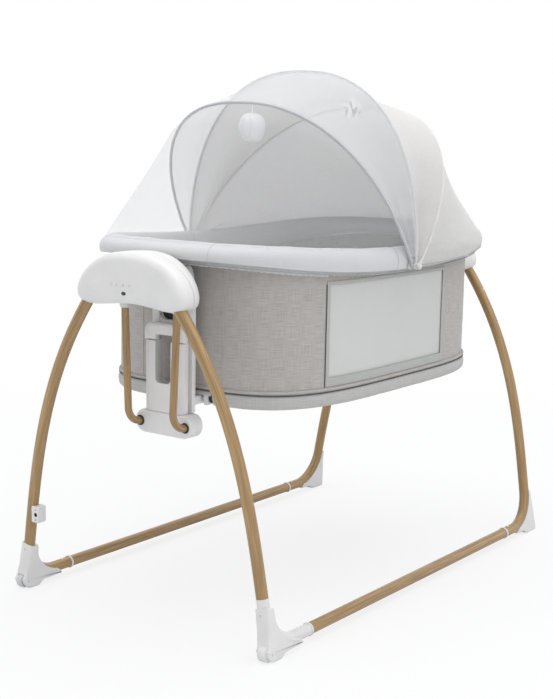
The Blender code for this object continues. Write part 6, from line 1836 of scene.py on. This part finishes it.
# %% Hood pins
for side_name, side in SIDES.items():
    pin_line = ((0.0, 0.0), (0.0, 0.0070), (0.0006, 0.0083), (0.0014, 0.0083), (0.0019, 0.0070),
                (0.0019, 0.0030), (0.0224, 0.0030), (0.0226, 0.0038), (0.0232, 0.0044), (0.0246, 0.0040),
                (0.0252, 0.0026), (0.0254, 0.0))
    pin = spun(pin_line, (side * 0.2754, HOOD_Y, HOOD_Z), (side, 0, 0), 36)
    finish_piece(pin, f"{side_name}_hood_pin", white_plastic, "bassinet",
                 (f"hood_clip_{side_name}",), 30)
print("hood pins made")

# %% Rim tube, base tube and what sits on it
BASE_TUBE_Z = 0.4165
base_a, base_b = WALL_A - 0.0068, WALL_B - 0.0068
rim_line = []
for angle in rim_angles[::2]:
    middle, out, half_width = rim_station(angle)
    spot = middle + out * (half_width - 0.013)
    rim_line.append(Vector((spot.x, spot.y, rim_height(spot.y))))
finish_piece(tube_along(rim_line, 0.007, sides=16, closed=True), "rim_steel_tube", steel, "bassinet",
             ("rim_tube",), 60)
base_line = loop_points(base_a, base_b, WALL_POWER, BASE_TUBE_Z, count_points=260)
finish_piece(tube_along(base_line, 0.008, sides=20, closed=True), "base_steel_tube", steel, "bassinet",
             ("base_tube",), 60)
for end_name, end in ENDS.items():
    rings, clips = [], []
    for side in (-1, 1):
        angle = min((2 * math.pi * i / 3000 for i in range(3000)),
                    key=lambda a: (oval_point(base_a, base_b, WALL_POWER, a)
                                   - Vector((side * 0.0705, end * base_a))).length)
        spot = oval_point(base_a, base_b, WALL_POWER, angle)
        rings.append(spun(((-0.003, 0.0080), (-0.003, 0.0092), (-0.002, 0.0097), (0.002, 0.0097),
                           (0.003, 0.0092), (0.003, 0.0080)), (spot.x, spot.y, BASE_TUBE_Z), (1, 0, 0), 32))
        clip = pulled(rounded_line(side * 0.061 - 0.0052, side * 0.061 + 0.0052, 0.4030, 0.4262, 0.0035, 5),
                      rounded_stations(base_a - 0.0100, base_a + 0.0098, 0.0016, 3, 0.0004), end=end)
        clips.append(clip)
    finish_piece(join_pieces(rings), f"{end_name}_tube_rings", black_matt, "bassinet", (),
                 30)
    finish_piece(join_pieces(clips), f"{end_name}_tube_clips", white_plastic, "bassinet",
                 (), 30)
print("tube fittings made")

# %% [markdown]
# ## Floor board and inner parts
# The board under the mattress is seen only from below, between the tube's ends, and the drive's own parts
# are seen only if a cover is lifted. They keep the frame's shape where that is right, with a finish each.

# %% Board, and finishes for the frame's own nodes
board_line = [(p.x, p.y) for p in mattress_outline(0.0, 180)]
board = pulled(board_line, [(0.4248, 0.0012), (0.4254, 0.0002), (0.4292, 0.0002), (0.4298, 0.0012)], axis="Z")
finish_piece(board, "tub_floor_board", board_cloth, "bassinet", ("floor_board",), 30)
own_finish = {"front_yoke": steel, "rear_yoke": steel, "front_bearing": steel, "rear_bearing": steel,
              "gearbox": grey_face, "drive_motor": steel, "touch_board": board_green}
for node, finish in own_finish.items():
    data = nodes[node].data
    data.materials.clear()
    data.materials.append(finish)
print("finishes on", len(own_finish), "frame nodes")

# %% [markdown]
# ## Hanging toys
# Two plush toys hang from the hood: a ribbed ball and a plain padded star. The ball's ribs come from its
# stuffed gores, which meet in seams at both poles. The star is two flat pieces sewn round the edge and
# stuffed, so that it is thickest in the middle. Each hangs from a strap sewn to the bow's sleeve.

# %% Ribbed ball
BALL_TOP = Vector((0.031, -0.21769, 0.95807))
ball_centre = BALL_TOP - Vector((0, 0, 0.012 + 0.0255))
BALL_HALF, BALL_DROP = (0.0278, 0.0225, 0.0253), 1.45
start_clean()
bpy.ops.mesh.primitive_uv_sphere_add(segments=96, ring_count=48, radius=1, location=(0, 0, 0))
ball = bpy.context.object
for vertex in ball.data.vertices:
    x, y, z = vertex.co
    turn, level_out = math.atan2(y, x), math.hypot(x, y)
    rib = abs(math.cos(4.5 * turn + 0.6)) ** 0.55
    gore = 1 - 0.15 * (1 - rib) * min(1.0, level_out * 1.6)
    fuzz = 1 + 0.010 * ripple(turn * level_out * 0.4, z * 0.4, 11.0, 0.05)
    pole = 1 - 0.10 * max(0.0, abs(z) - 0.8) / 0.2
    half_x, half_y, half_z = BALL_HALF
    droop = BALL_DROP if z < 0 else 1
    vertex.co = Vector((x * half_x * gore * fuzz, y * half_y * gore * fuzz,
                        z * half_z * pole * droop)) + ball_centre
strap = tube_along([BALL_TOP - Vector((0, 0, 0.0002 + 0.0010 * i)) for i in range(15)], 0.0014, sides=12)
finish_piece(join_pieces([ball, strap]), "ribbed_plush_ball", plush, "toy_ball",
             ("toy_ball",), 60)
print("ball", tuple(round(value, 3) for value in ball.dimensions))

# %% Padded star on its strap
STAR_TOP = Vector((0.128, -0.01696, 0.99855))
star_centre = STAR_TOP - Vector((0, 0, 0.030 + 0.026 * 0.55))
outline = []
for i in range(80):
    turn = 2 * math.pi * i / 80
    reach = 0.0256 * (0.60 + 0.40 * abs(math.cos(2.5 * (turn - math.pi / 2))) ** 1.5)
    outline.append((star_centre.x + reach * math.cos(turn), star_centre.z + reach * math.sin(turn)))
layers = [(0.0, 0.0), (0.0016, 0.0002), (0.0036, 0.0011), (0.0056, 0.0029), (0.0074, 0.0056),
          (0.0087, 0.0090)]
stations = [(star_centre.y - depth, inset) for depth, inset in reversed(layers)]
stations += [(star_centre.y + depth, inset) for depth, inset in layers[1:]]
star = pulled(outline, stations)
straps = []
for side in (-1, 1):
    path = [STAR_TOP + Vector((side * 0.0016 * (1 - i / 12), 0, -0.0003 - 0.0016 * i)) for i in range(16)]
    straps.append(tube_along(path, 0.0011, sides=10))
finish_piece(join_pieces([star] + straps), "padded_star", plush, "toy_star", ("toy_star",), 60)
print("star", tuple(round(value, 3) for value in star.dimensions))
